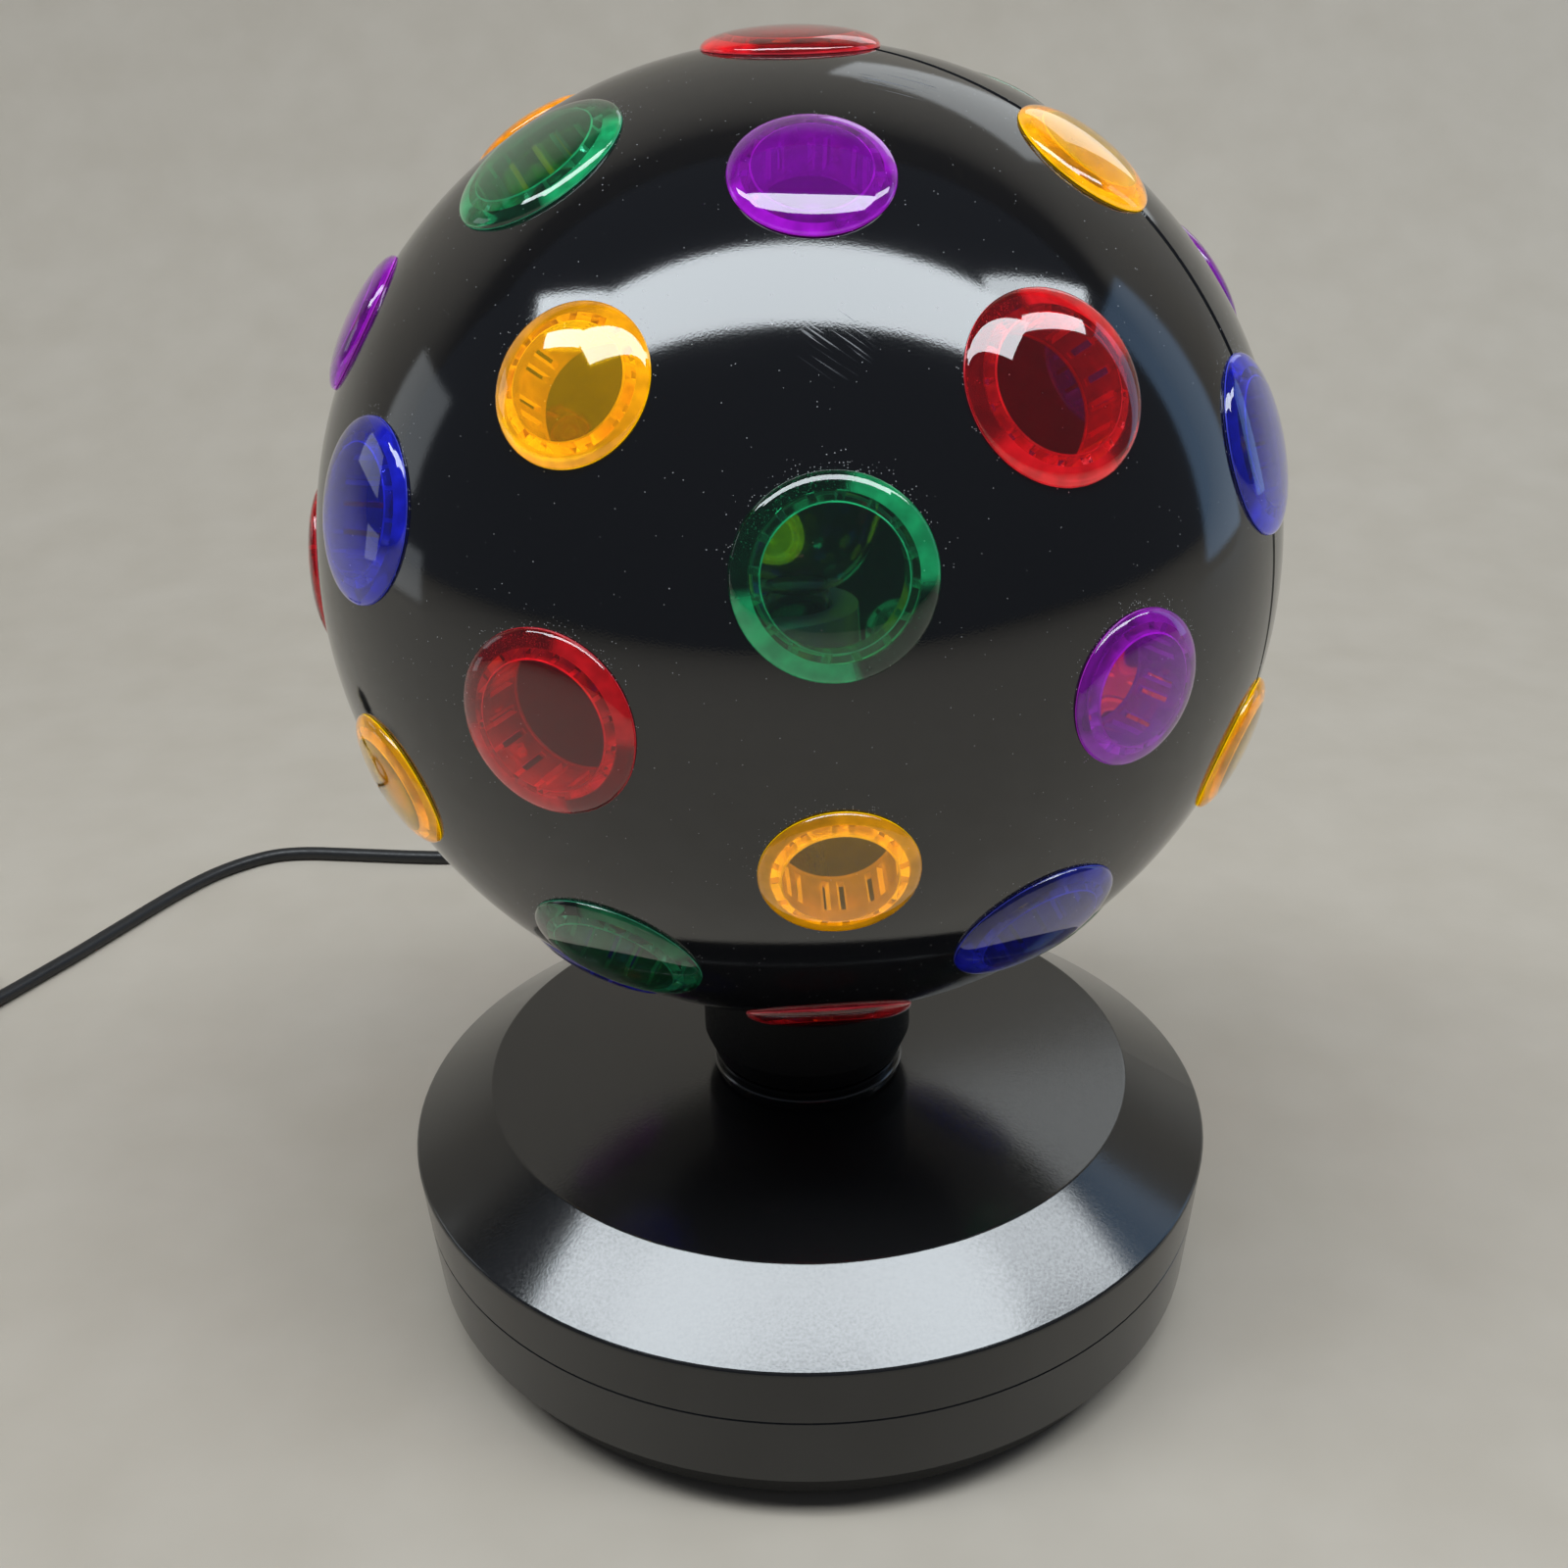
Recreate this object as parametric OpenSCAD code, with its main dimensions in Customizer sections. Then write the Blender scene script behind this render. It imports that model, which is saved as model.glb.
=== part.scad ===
// Rotating disco light ball: a geared motor in a round base turns a ball of coloured lens
// caps about a fixed lamp. Millimetres, +Z up, origin on the table under the ball's axis.
// The front is -Y, and the cord leaves at the rear, +Y.

/* [Ball] */
// Outer radius of the ball
ball_r = 100; // [92:1:112]
// Thickness of the ball's shells
shell_wall = 2.4; // [1.8:0.1:3]
// Turn of the front shell away from straight ahead, in degrees
seam_turn = -24.5; // [-90:0.1:90]
// Depth of the groove along the seam
seam_groove = 0.7; // [0.2:0.1:1]
// Reach of the rear shell's lip into the front shell
lip_reach = 4; // [2:0.5:6]
// Thickness of that lip
lip_wall = 1.6; // [1:0.1:2]
// Tilt of the first ring of lenses from the shell's middle, in degrees
ring1_tilt = 33.2; // [31:0.1:35]
// Tilt of the second ring of lenses from the shell's middle, in degrees
ring2_tilt = 62; // [60:0.1:64]
// Drop of each shell's lens pattern below the shell's middle, in degrees
pattern_drop = 1; // [0:0.1:3]
// Turn of a shell's lens pattern away from the seam's own middle, mirrored in the rear shell
pattern_turn = -1.5; // [-3:0.1:3]

/* [Lenses] */
// Radius of a large lens over its flange
big_lens_r = 17.2; // [16:0.1:18.5]
// Radius of a large lens's skirt
big_skirt_r = 13.7; // [12:0.1:14.5]
// Radius of a small lens over its flange
small_lens_r = 14.4; // [13.5:0.1:16]
// Radius of a small lens's skirt
small_skirt_r = 11.8; // [10:0.1:12.5]
// Rise of a lens's crown above its hole's edge
lens_crown = 3.6; // [3:0.1:5.5]
// Height of a lens's upright edge, below its dome
lens_edge = 0.3; // [0.2:0.1:1]
// Thickness of a lens and its skirt
lens_wall = 1.5; // [1:0.1:2]
// Reach of a lens's skirt into the ball
skirt_depth = 10; // [8:0.5:13]
// Width of a skirt's snap tongues
tongue_w = 4.2; // [3:0.1:5]
// Width of the slots beside a tongue
slot_w = 1.2; // [0.8:0.1:1.6]
// Height of the unbroken rings above and below the slots
skirt_ring = 1.6; // [1:0.1:2.5]
// Reach of the snap barbs behind the shell
barb_w = 0.8; // [0.4:0.1:1.2]

/* [Hub and spindle] */
// Height of the hub from its foot to the ball's lowest point
hub_h = 25.5; // [20:0.5:35]
// Radius of the hub
hub_r = 24.6; // [22:0.1:28]
// Radius of the hub's foot
hub_foot_r = 22.4; // [20:0.1:26]
// Height of the flare at the hub's foot
hub_flare_h = 5.5; // [3:0.5:9]
// Radius of the hub where the shells clamp it
hub_neck_r = 12; // [11:0.1:14]
// Radius of the hub's flange inside the ball
hub_flange_r = 18; // [16:0.1:20]
// Thickness of that flange
hub_flange_t = 2.6; // [2:0.1:4]
// Radius of the hollow spindle
spindle_r = 8; // [7.5:0.1:9]
// Radius of the spindle's bore
spindle_bore_r = 5.5; // [5.4:0.1:6.2]
// Reach of the spindle below its gear
spindle_tail = 4; // [3:0.5:5]
// Radius of the hub's grub screw
grub_r = 1.5; // [1:0.1:2]

/* [Base] */
// Height of the rubber feet
foot_h = 3.5; // [2:0.5:6]
// Radius of a rubber foot
foot_r = 8; // [6:0.5:9]
// Inset of a foot's middle from the plinth's edge
foot_inset = 12; // [10:0.5:18]
// Inset of the recessed plinth from the foot of the side wall
plinth_inset = 5; // [3:0.5:8]
// Height of the recessed plinth
plinth_h = 8; // [6:0.5:11]
// Narrowing of the side wall from the rim to its foot
wall_taper = 2.6; // [0.5:0.1:4]
// Height of the side wall
wall_h = 31.5; // [30:0.5:36]
// Height of the pan's part of the side wall
pan_wall_h = 17.5; // [17:0.5:19]
// Radius at the rim, where the side wall meets the bevel
rim_r = 95.6; // [95:0.1:100]
// Height of the bevel
bevel_h = 12.5; // [9:0.5:16]
// Width of the bevel, seen from above
bevel_w = 19.2; // [15:0.1:22]
// Rise of the top from the shoulder to the neck
top_rise = 1.5; // [0.5:0.1:4]
// Radius of the neck
neck_r = 22.2; // [20:0.1:25]
// Height of the neck
neck_h = 2.5; // [2:0.1:6]
// Wall thickness of the base
base_wall = 2.5; // [2:0.1:3]
// Thickness of the pan's floor
floor_t = 3; // [2.5:0.1:4]
// Rounding of the rim and the shoulder
edge_round = 1.2; // [0.5:0.1:2]
// Depth of the groove where cover and pan meet
part_groove = 0.3; // [0.2:0.1:0.8]
// Inset of the base screws from the plinth's edge
screw_inset = 20; // [17:0.5:24]
// Radius of a base screw
screw_r = 1.5; // [1.2:0.1:1.8]
// Radius of a base screw's head
screw_head_r = 3.4; // [3:0.1:4]
// Height of a base screw's head
screw_head_h = 1.6; // [1.2:0.1:1.8]

/* [Bearing] */
// Outer radius of the neck bush
bush_r = 11; // [10:0.1:12]
// Length of the neck bush
bush_len = 13.5; // [11:0.5:15]
// Radius of the bush's flange
bush_flange_r = 14; // [13:0.1:16]
// Thickness of the bush's flange
bush_flange_t = 2; // [1.5:0.1:3]
// Thickness of the thrust washer, the gap under the hub
washer_t = 1; // [0.6:0.1:1.6]

/* [Drive] */
// Module of the gear teeth
gear_module = 1; // [0.95:0.01:1.05]
// Teeth of the spindle's gear
gear_teeth = 60; // [56:2:62]
// Teeth of the motor's pinion
pinion_teeth = 20; // [18:2:22]
// Thickness of the spindle's gear
gear_t = 6; // [4:0.5:7]
// Running play of the gear under the bush
gear_play = 0.5; // [0.3:0.1:1]
// Play between the teeth, measured along the pitch circle
backlash = 0.25; // [0.15:0.05:0.4]
// Radius of the motor
motor_r = 24.5; // [22:0.5:26]
// Height of the motor
motor_h = 14; // [12:0.5:15]
// Distance of the motor's screws from its shaft
motor_ear = 30; // [28:0.5:31]
// Radius of the motor's shaft
shaft_r = 2.5; // [2:0.1:3]

/* [Lamp] */
// Outer radius of the lamp post
post_r = 5; // [4.6:0.1:5]
// Radius of the lamp post's bore
post_bore_r = 3.4; // [3:0.1:3.6]
// Distance of the lamp holder's foot below the ball's centre
holder_drop = 46; // [40:1:52]
// Radius of the lamp holder
holder_r = 13; // [11:0.5:15]
// Height of the lamp holder
holder_h = 32; // [28:1:36]
// Radius of the bulb's screw cap
cap_r = 6.9; // [6.5:0.1:7.2]
// Radius of the bulb's glass
bulb_r = 17; // [14:0.5:20]
// Thickness of the bulb's glass
bulb_wall = 0.8; // [0.6:0.1:1.2]

/* [Switch] */
// Turn of the switch from the rear, in degrees
switch_turn = -26; // [-40:1:-20]
// Width of the rocker
rocker_w = 11.4; // [10:0.1:12]
// Height of the rocker
rocker_h = 7.4; // [6:0.1:7.6]
// Travel of the rocker from off to on, in degrees
rocker_travel = 16; // [10:1:20]

/* [Cord] */
// Diameter of the cord
cord_d = 4.5; // [4:0.1:4.8]
// Length of the strain relief outside the wall
relief_len = 30; // [24:1:40]
// Radius of the strain relief at the wall
relief_r = 5.6; // [5:0.1:6.5]
// Radius of the strain relief at its tip
relief_tip_r = 3.2; // [3:0.1:4]
// Inner radius of the coil, at the cord's middle
coil_in_r = 20.5; // [19:0.1:24]
// Turns of the coil
coil_turns = 8.4167; // [6.4167:1:10.4167]
// Layers of the coil
coil_layers = 4; // [2:2:4]
// Width of the plug
plug_w = 22; // [19:0.5:26]
// Length of the plug's body
plug_len = 34; // [28:1:40]
// Width of the tie round the coil
tie_w = 8; // [6:0.5:10]

/* [Hidden] */
$fn = 72;

// Clearance of a shaft in its bore and of a pressed or screwed fit
fit_gap = 0.05;
// Clearance of a lens or a hub against the ball
seat_gap = 0.05;
// Clearance of a skirt, hub neck or lip in its hole
hole_gap = 0.25;
// Overrun of a cut past the faces that it opens
over = 1;

// Heights from the table up
pan_floor_z = foot_h + floor_t;
wall_z = foot_h + plinth_h;
part_z = wall_z + pan_wall_h;
rim_z = wall_z + wall_h;
shoulder_z = rim_z + bevel_h;
top_z = shoulder_z + top_rise;
neck_z = top_z + neck_h;
hub_z = neck_z + washer_t;
pole_z = hub_z + hub_h;
ball_z = pole_z + ball_r;
wall_slope = atan(wall_taper / wall_h);

// Base
wall_foot_r = rim_r - wall_taper;
plinth_r = wall_foot_r - plinth_inset;
shoulder_r = rim_r - bevel_w;
foot_ring_r = plinth_r - foot_inset;
screw_ring_r = plinth_r - screw_inset;
base_lip_h = 2.5;
base_lip_r = wall_r(part_z - base_lip_h) - base_wall - hole_gap;
boss_wall = 3;
screw_boss_r = screw_r + boss_wall;
screw_len = 12;
pilot_spare = 2;
pilot_depth = screw_len + pilot_spare;
foot_stem_r = foot_r / 3;
foot_barb_w = 1;
foot_barb_h = 2.5;
foot_chamfer = 0.6;

// Ball and hub
in_r = ball_r - shell_wall;
hub_flange_z = ball_z - sqrt(in_r * in_r - hub_flange_r * hub_flange_r) + 2 * seat_gap;
hub_top_z = hub_flange_z + hub_flange_t;
grub_rise = 6;
grub_z = hub_z + hub_flare_h + grub_rise;
grub_sink = 2;

// Lens colours, ring by ring, clockwise from the top as seen from outside the shell
ring1_colours = ["yellow", "green", "yellow", "green", "yellow", "blue"];
ring2_colours = ["purple", "red", "purple", "blue", "red", "blue", "yellow", "red", "purple", "green"];
seam_colours = ["red", "yellow", "blue", "yellow", "green", "none", "purple", "yellow", "blue", "yellow"];
ring1_step = 360 / len(ring1_colours);
ring2_step = 360 / len(ring2_colours);
seam_step = 360 / len(seam_colours);
barb_ramp = 2;
tongue_step = 45;
shell_sites = concat(
    [[0, 0, "red"]],
    [for (i = [0:len(ring1_colours) - 1]) [ring1_tilt, i * ring1_step, ring1_colours[i]]],
    [for (i = [0:len(ring2_colours) - 1]) [ring2_tilt, (i + 0.5) * ring2_step, ring2_colours[i]]]);
seam_sites = [for (i = [0:len(seam_colours) - 1])
    if (seam_colours[i] != "none") [90, i * seam_step, seam_colours[i]]];

// Bearing and drive
bush_z = neck_z - bush_len;
hub_wall = 4;
bush_boss_r = bush_r + hub_wall;
gear_hub_r = spindle_r + hub_wall;
gear_hub_h = 1.5;
gear_z = bush_z - gear_play - gear_hub_h - gear_t;
ring_t = 1.2;
ring_z = gear_z - ring_t;
ring_groove = 0.8;
spindle_z = gear_z - spindle_tail;
gear_pitch_r = gear_module * gear_teeth / 2;
pinion_pitch_r = gear_module * pinion_teeth / 2;
motor_x = -(gear_pitch_r + pinion_pitch_r);
motor_drop = 4;
motor_top_z = gear_z - motor_drop;
shaft_foot_z = motor_top_z - motor_h / 2;
motor_z = motor_top_z - motor_h;
ear_t = 2;
ear_r = 5;
motor_screw_r = 1.3;
motor_screw_len = 10;
motor_screw_head_r = 2.8;
motor_screw_head_h = 2;
motor_boss_r = motor_screw_r + boss_wall;
pinion_over = 0.5;
pinion_t = gear_t + 2 * pinion_over;
pinion_z = gear_z - pinion_over;
pressure_angle = 20;
ring_w = 2.4;

// Lamp
post_collar_w = 3;
post_collar_r = post_r + post_collar_w;
post_collar_t = 2;
post_boss_r = 13;
post_boss_h = 8;
post_boss_z = pan_floor_z + post_boss_h;
post_nut_r = 8;
post_nut_h = 4.4;
nut_pocket_spare = 0.8;
nut_pocket_h = post_nut_h + nut_pocket_spare;
post_inset = 0.4;
post_foot_z = foot_h + post_inset;
lead_rise = 7;
lead_z = post_boss_z + post_collar_t + lead_rise;
lead_hole_r = 2.8;
holder_z = ball_z - holder_drop;
socket_h = 6;
cup_floor_t = 2;
cup_z = holder_z + socket_h + cup_floor_t;
cap_tip_h = 2;
thread_pitch = 2.8;
thread_depth = 0.5;
cap_sink = 2;
cap_top_z = holder_z + holder_h - cap_sink;
bulb_neck_step = 0.4;
bulb_neck_r = cap_r - bulb_neck_step;
bulb_neck_h = 5;
bulb_z = cap_top_z + bulb_r + bulb_neck_h;

// Terminal block in the base
block_size = [30, 18, 13];
block_inset = 11;
block_y = foot_ring_r - block_size[1] - block_inset;
block_poles = 3;
block_well_d = 5;
block_well_h = 3;

// Wiring
wire_r = 0.9;
wire_z = pan_floor_z + block_size[2] / 2;
lead_gap = 0.8;
lead_pitch = 3;
lead_entry = 7;
lead_straight = 4;
lamp_lead_bend = 17;
lamp_pole_x = 4;
motor_lead_x = 12;
motor_lead_bend = 13;
motor_lead_shift = 7.5;
motor_pole_x = 10.5;
switch_lead_out = 6;
core_straight = 6;
switch_lead_x = 9;

// Switch, in the frame of the side wall
switch_z = wall_z + pan_wall_h / 2;
switch_cup_w = rocker_w + 1.8;
switch_cup_h = rocker_h + 0.8;
switch_wall = 1.4;
switch_out_w = switch_cup_w + 2 * switch_wall;
switch_out_h = switch_cup_h + 2 * switch_wall;
switch_depth = 14;
bezel_rim = 1.4;
bezel_t = 1.6;
bezel_round = 1;
pivot_y = -1.6;
pivot_r = 1;
pivot_len = switch_cup_h + 1.2 * switch_wall;
pivot_hole_len = switch_cup_h + 1.5 * switch_wall;
rocker_nose = 2.8;
rocker_dip = 1.9;
rocker_back = 4.4;
rocker_hip = 1;
rocker_draft = 0.3;
rocker_chamfer = 0.6;

// Cord
cord_r = cord_d / 2;
relief_z = wall_z + pan_wall_h / 2;
relief_groove_r = 4.3;
relief_flange_t = 2;
relief_play = 0.4;
core_r = 1.85;
coil_pitch = cord_d + 0.5;
tie_t = 0.8;
tie_gap = 0.4;
tie_round = 1.5 * cord_r;
coil_z = cord_r + tie_t + tie_gap + 0.05;
coil_centre = [-295, 108.5];
coil_start = -30;
coil_layer_turns = coil_turns / coil_layers;
coil_out_r = coil_in_r + coil_pitch * coil_layer_turns;
coil_steps = 24;
coil_last = floor(coil_turns * coil_steps - 0.5);
plug_t = 15;
plug_neck_len = 12;
plug_neck_tip_r = cord_r + 0.8;
plug_neck_r = cord_r + 3;
plug_neck_sink = 2;
blade_w = 6.35;
blade_t = 1.5;
blade_len = 16;
blade_gap = 12.7;

// Free run of the cord between the strain relief and the coil, on the table behind the base
run_points = [
    [0, 133, 17], [-0.5, 145, 15.5], [-2, 157, 12.5], [-5, 168.5, 8.5], [-10, 179, 5], [-17.5, 188, 2.9],
    [-27, 195.5, 2.3], [-38.5, 201, 2.3], [-51, 204.5, 2.3], [-64, 206.5, 2.3], [-77, 207.5, 2.3],
    [-90, 208, 2.3], [-103, 208, 2.3], [-116, 207.5, 2.3], [-129, 207, 2.3], [-142, 208, 2.3],
    [-155, 209.5, 2.3], [-168, 211, 2.3], [-180, 212, 2.3], [-191, 210.5, 2.3], [-200.5, 205, 2.3],
    [-208.5, 197.5, 2.3], [-215.5, 188, 2.3], [-222, 177, 2.3], [-228, 165.5, 2.3], [-234, 154, 2.3],
    [-240, 142.5, 2.3], [-246.5, 131, 2.3], [-253, 119.5, 2.4], [-259.5, 108, 2.9]];
// Tail from the coil's last turn down to the plug, counted from the end of that turn
tail_points = [[0, 10, -0.8], [0, 20, -3], [0, 30, -6.2], [0, 40, -9.2], [0, 48, -10.6], [0, 52.5, -10.6]];

// Shared geometry

function unit(v) = v / norm(v);
function turned(v, a) = [v[0] * cos(a) - v[1] * sin(a), v[0] * sin(a) + v[1] * cos(a)];

// Arc that rounds the corner b between a and c
function corner(a, b, c, r, n = 5) =
    let (u = unit(a - b), v = unit(c - b), half = acos(u * v) / 2)
    let (middle = b + unit(u + v) * r / sin(half), from = b + u * r / tan(half) - middle)
    let (sweep = (180 - 2 * half) * sign(cross(b - a, c - b)))
    [for (i = [0:n]) middle + turned(from, sweep * i / n)];

// Outline of a w by h rectangle with round corners, centred
function round_rect(w, h, r) =
    let (p = [[-w / 2, -h / 2], [w / 2, -h / 2], [w / 2, h / 2], [-w / 2, h / 2]])
    [for (i = [0:3]) each corner(p[(i + 3) % 4], p[i], p[(i + 1) % 4], r)];

// Radius of the side wall's outer face at height z
function wall_r(z) = wall_foot_r + wall_taper * (z - wall_z) / wall_h;

// Height of the ball's outer and inner face above its centre, at distance r from a lens's axis
function ball_h(r) = sqrt(ball_r * ball_r - r * r);
function ball_in_h(r) = sqrt(in_r * in_r - r * r);

// Places children on the side wall, with +Y pointing straight out of it
module on_wall(turn, z) {
    rotate([0, 0, turn])
        translate([0, wall_r(z), z])
            rotate([-wall_slope, 0, 0])
                children();
}

// Point at distance d out of the side wall's rear, in the part's own frame
function rear_point(d, z) = [0, wall_r(z) + d * cos(wall_slope), z - d * sin(wall_slope)];

// Places children in a shell's own frame: +Z out of its middle and +Y up
module in_shell(half) {
    translate([0, 0, ball_z])
        rotate([0, 0, seam_turn + half])
            rotate([90, 0, 0])
                children();
}

// Places children in the frame of a shell's lens pattern
module in_pattern(half) {
    rotate([pattern_drop, half == 0 ? pattern_turn : -pattern_turn, 0])
        children();
}

// Points +Z at one lens's site, in the frame of the pattern or of the seam
module at_site(tilt, turn) {
    rotate([0, 0, -turn])
        rotate([-tilt, 0, 0])
            children();
}

module tube(r, bore, h) {
    difference() {
        cylinder(r = r, h = h);
        translate([0, 0, -over])
            cylinder(r = bore, h = h + 2 * over);
    }
}

// Base

module screw_sites() {
    for (a = [45:90:315])
        rotate([0, 0, a])
            translate([screw_ring_r, 0, 0])
                children();
}

module foot_sites() {
    for (a = [0:90:270])
        rotate([0, 0, a])
            translate([foot_ring_r, 0, 0])
                children();
}

module motor_sites() {
    for (side = [-1, 1])
        translate([motor_x, side * motor_ear, 0])
            children();
}

module base_cover() {
    wall_top = [rim_r, rim_z];
    shoulder = [shoulder_r, shoulder_z];
    foot = [wall_r(part_z + part_groove), part_z + part_groove];
    neck_foot = [neck_r, top_z];
    neck_top = [neck_r, neck_z];
    bush_seat = bush_flange_r + fit_gap;
    bush_hole = bush_r + fit_gap;
    color("#1c1c1e")
    difference() {
        union() {
            rotate_extrude($fn = 180)
                polygon(concat(
                    [[wall_r(part_z) - part_groove, part_z], foot],
                    corner(foot, wall_top, shoulder, edge_round),
                    corner(wall_top, shoulder, neck_foot, edge_round),
                    corner(shoulder, neck_foot, neck_top, neck_h / 4),
                    corner(neck_foot, neck_top, [bush_seat, neck_z], neck_h / 4),
                    [[bush_seat, neck_z], [bush_seat, neck_z - bush_flange_t],
                     [bush_hole, neck_z - bush_flange_t], [bush_hole, bush_z], [bush_boss_r, bush_z],
                     [bush_boss_r, top_z - base_wall],
                     [shoulder_r - base_wall / 3, shoulder_z - base_wall],
                     [rim_r - base_wall, rim_z - base_wall / 2],
                     [base_lip_r - lip_wall, part_z + base_lip_h],
                     [base_lip_r - lip_wall, part_z - base_lip_h],
                     [base_lip_r, part_z - base_lip_h], [base_lip_r, part_z]]));
            screw_sites()
                translate([0, 0, pan_floor_z])
                    cylinder(r = screw_boss_r, h = shoulder_z - base_wall / 2 - pan_floor_z);
        }
        screw_sites()
            translate([0, 0, pan_floor_z - over])
                cylinder(r = screw_r + fit_gap, h = pilot_depth + over);
    }
}

module base_pan() {
    wall_in_r = wall_r(part_z) - base_wall;
    color("#1a1a1c")
    difference() {
        union() {
            rotate_extrude($fn = 180)
                polygon([
                    [0, foot_h], [plinth_r, foot_h], [plinth_r, wall_z], [wall_foot_r, wall_z],
                    [wall_r(part_z - part_groove), part_z - part_groove],
                    [wall_r(part_z) - part_groove, part_z], [wall_in_r, part_z],
                    [wall_foot_r - base_wall, wall_z + base_wall],
                    [plinth_r - base_wall, wall_z + base_wall], [plinth_r - base_wall, pan_floor_z],
                    [0, pan_floor_z]]);
            translate([0, 0, foot_h])
                cylinder(r = post_boss_r, h = floor_t + post_boss_h);
            motor_sites()
                translate([0, 0, foot_h])
                    cylinder(r = motor_boss_r, h = motor_top_z - ear_t - foot_h);
        }
        // lamp post and its nut
        translate([0, 0, foot_h - over])
            cylinder(r = post_r + fit_gap, h = floor_t + post_boss_h + 2 * over);
        translate([0, 0, foot_h - over])
            cylinder(r = post_nut_r + hole_gap, h = nut_pocket_h + over);
        // base screws, feet and motor screws
        screw_sites() {
            translate([0, 0, foot_h - over])
                cylinder(r = screw_r + hole_gap, h = floor_t + 2 * over);
            translate([0, 0, foot_h - over])
                cylinder(r = screw_head_r + hole_gap, h = screw_head_h + over);
        }
        foot_sites()
            translate([0, 0, foot_h - over])
                cylinder(r = foot_stem_r + fit_gap, h = floor_t + 2 * over);
        motor_sites()
            translate([0, 0, motor_top_z - ear_t - motor_screw_len])
                cylinder(r = motor_screw_r + fit_gap, h = motor_screw_len + over);
        // strain relief and switch in the rear wall
        on_wall(0, relief_z)
            rotate([-90, 0, 0])
                translate([0, 0, -2 * base_wall])
                    cylinder(r = relief_groove_r + fit_gap, h = 4 * base_wall);
        on_wall(switch_turn, switch_z)
            translate([-switch_out_w / 2 - fit_gap, -2 * base_wall, -switch_out_h / 2 - fit_gap])
                cube([switch_out_w + 2 * fit_gap, 4 * base_wall, switch_out_h + 2 * fit_gap]);
    }
}

module rubber_feet() {
    barb_top_z = pan_floor_z + foot_barb_h;
    color("#26262a")
    foot_sites()
        rotate_extrude()
            polygon([
                [0, 0], [foot_r - foot_chamfer, 0], [foot_r, foot_chamfer], [foot_r, foot_h],
                [foot_stem_r, foot_h], [foot_stem_r, pan_floor_z], [foot_stem_r + foot_barb_w, pan_floor_z],
                [foot_stem_r - foot_chamfer, barb_top_z], [0, barb_top_z]]);
}

module base_screws() {
    seat_z = foot_h + screw_head_h;
    cross_len = screw_head_r * 1.4;
    cross_w = screw_head_r / 4;
    cross_depth = screw_head_h / 2;
    color("#8f9094")
    screw_sites()
        difference() {
            union() {
                translate([0, 0, foot_h])
                    cylinder(r = screw_head_r, h = screw_head_h);
                translate([0, 0, foot_h + cross_depth])
                    cylinder(r = screw_r, h = screw_len + seat_z - foot_h - cross_depth);
            }
            for (a = [0, 90])
                rotate([0, 0, a])
                    translate([-cross_len / 2, -cross_w / 2, foot_h - over])
                        cube([cross_len, cross_w, cross_depth + over]);
        }
}

// Bearing

module neck_bush() {
    color("#9a7440")
    difference() {
        union() {
            translate([0, 0, bush_z])
                cylinder(r = bush_r, h = bush_len);
            translate([0, 0, neck_z - bush_flange_t])
                cylinder(r = bush_flange_r, h = bush_flange_t);
        }
        translate([0, 0, bush_z - over])
            cylinder(r = spindle_r + fit_gap, h = bush_len + 2 * over);
    }
}

module thrust_washer() {
    color("#d8d6cc")
    translate([0, 0, neck_z])
        tube(bush_flange_r - 2 * hole_gap, spindle_r + hole_gap, washer_t);
}

// Drive

// Angle of the involute at radius r on base radius rb, in degrees
function involute(r, rb) = let (a = acos(min(1, rb / r))) tan(a) * 180 / PI - a;

// Outline of a spur gear, with a tooth on the X axis
function gear_outline(teeth, steps = 4) =
    let (pitch_r = gear_module * teeth / 2, rb = pitch_r * cos(pressure_angle))
    let (tip_r = pitch_r + gear_module, root_r = pitch_r - 1.25 * gear_module)
    let (from_r = max(rb, root_r))
    let (half = 90 / teeth - backlash / 4 / pitch_r * 180 / PI + involute(pitch_r, rb))
    let (radii = [for (i = [0:steps]) from_r + (tip_r - from_r) * i / steps])
    let (rise = [for (r = radii) [r, half - involute(r, rb)]])
    let (curve = root_r < from_r ? rise : [for (i = [1:steps]) rise[i]])
    let (flank = concat([[root_r, half - involute(from_r, rb)]], curve))
    let (n = len(flank))
    [for (t = [0:teeth - 1])
        each concat(
            [for (i = [0:n - 1]) turned([flank[i][0], 0], t * 360 / teeth - flank[i][1])],
            [for (i = [n - 1:-1:0]) turned([flank[i][0], 0], t * 360 / teeth + flank[i][1])])];

module spindle_gear() {
    color("#e4e0d2")
    difference() {
        union() {
            translate([0, 0, gear_z])
                linear_extrude(gear_t)
                    polygon(gear_outline(gear_teeth));
            translate([0, 0, gear_z])
                cylinder(r = gear_hub_r, h = gear_t + gear_hub_h);
        }
        translate([0, 0, gear_z - over])
            cylinder(r = spindle_r + fit_gap, h = gear_t + gear_hub_h + 2 * over);
    }
}

module drive_pinion() {
    color("#d9b25a")
    translate([motor_x, 0, pinion_z])
        difference() {
            rotate([0, 0, 180 / pinion_teeth])
                linear_extrude(pinion_t)
                    polygon(gear_outline(pinion_teeth));
            translate([0, 0, -over])
                cylinder(r = shaft_r + fit_gap, h = pinion_t + 2 * over);
        }
}

module motor_shaft() {
    color("#b9bbc0")
    translate([motor_x, 0, shaft_foot_z])
        cylinder(r = shaft_r, h = pinion_z + pinion_t + pinion_over - shaft_foot_z);
}

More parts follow.
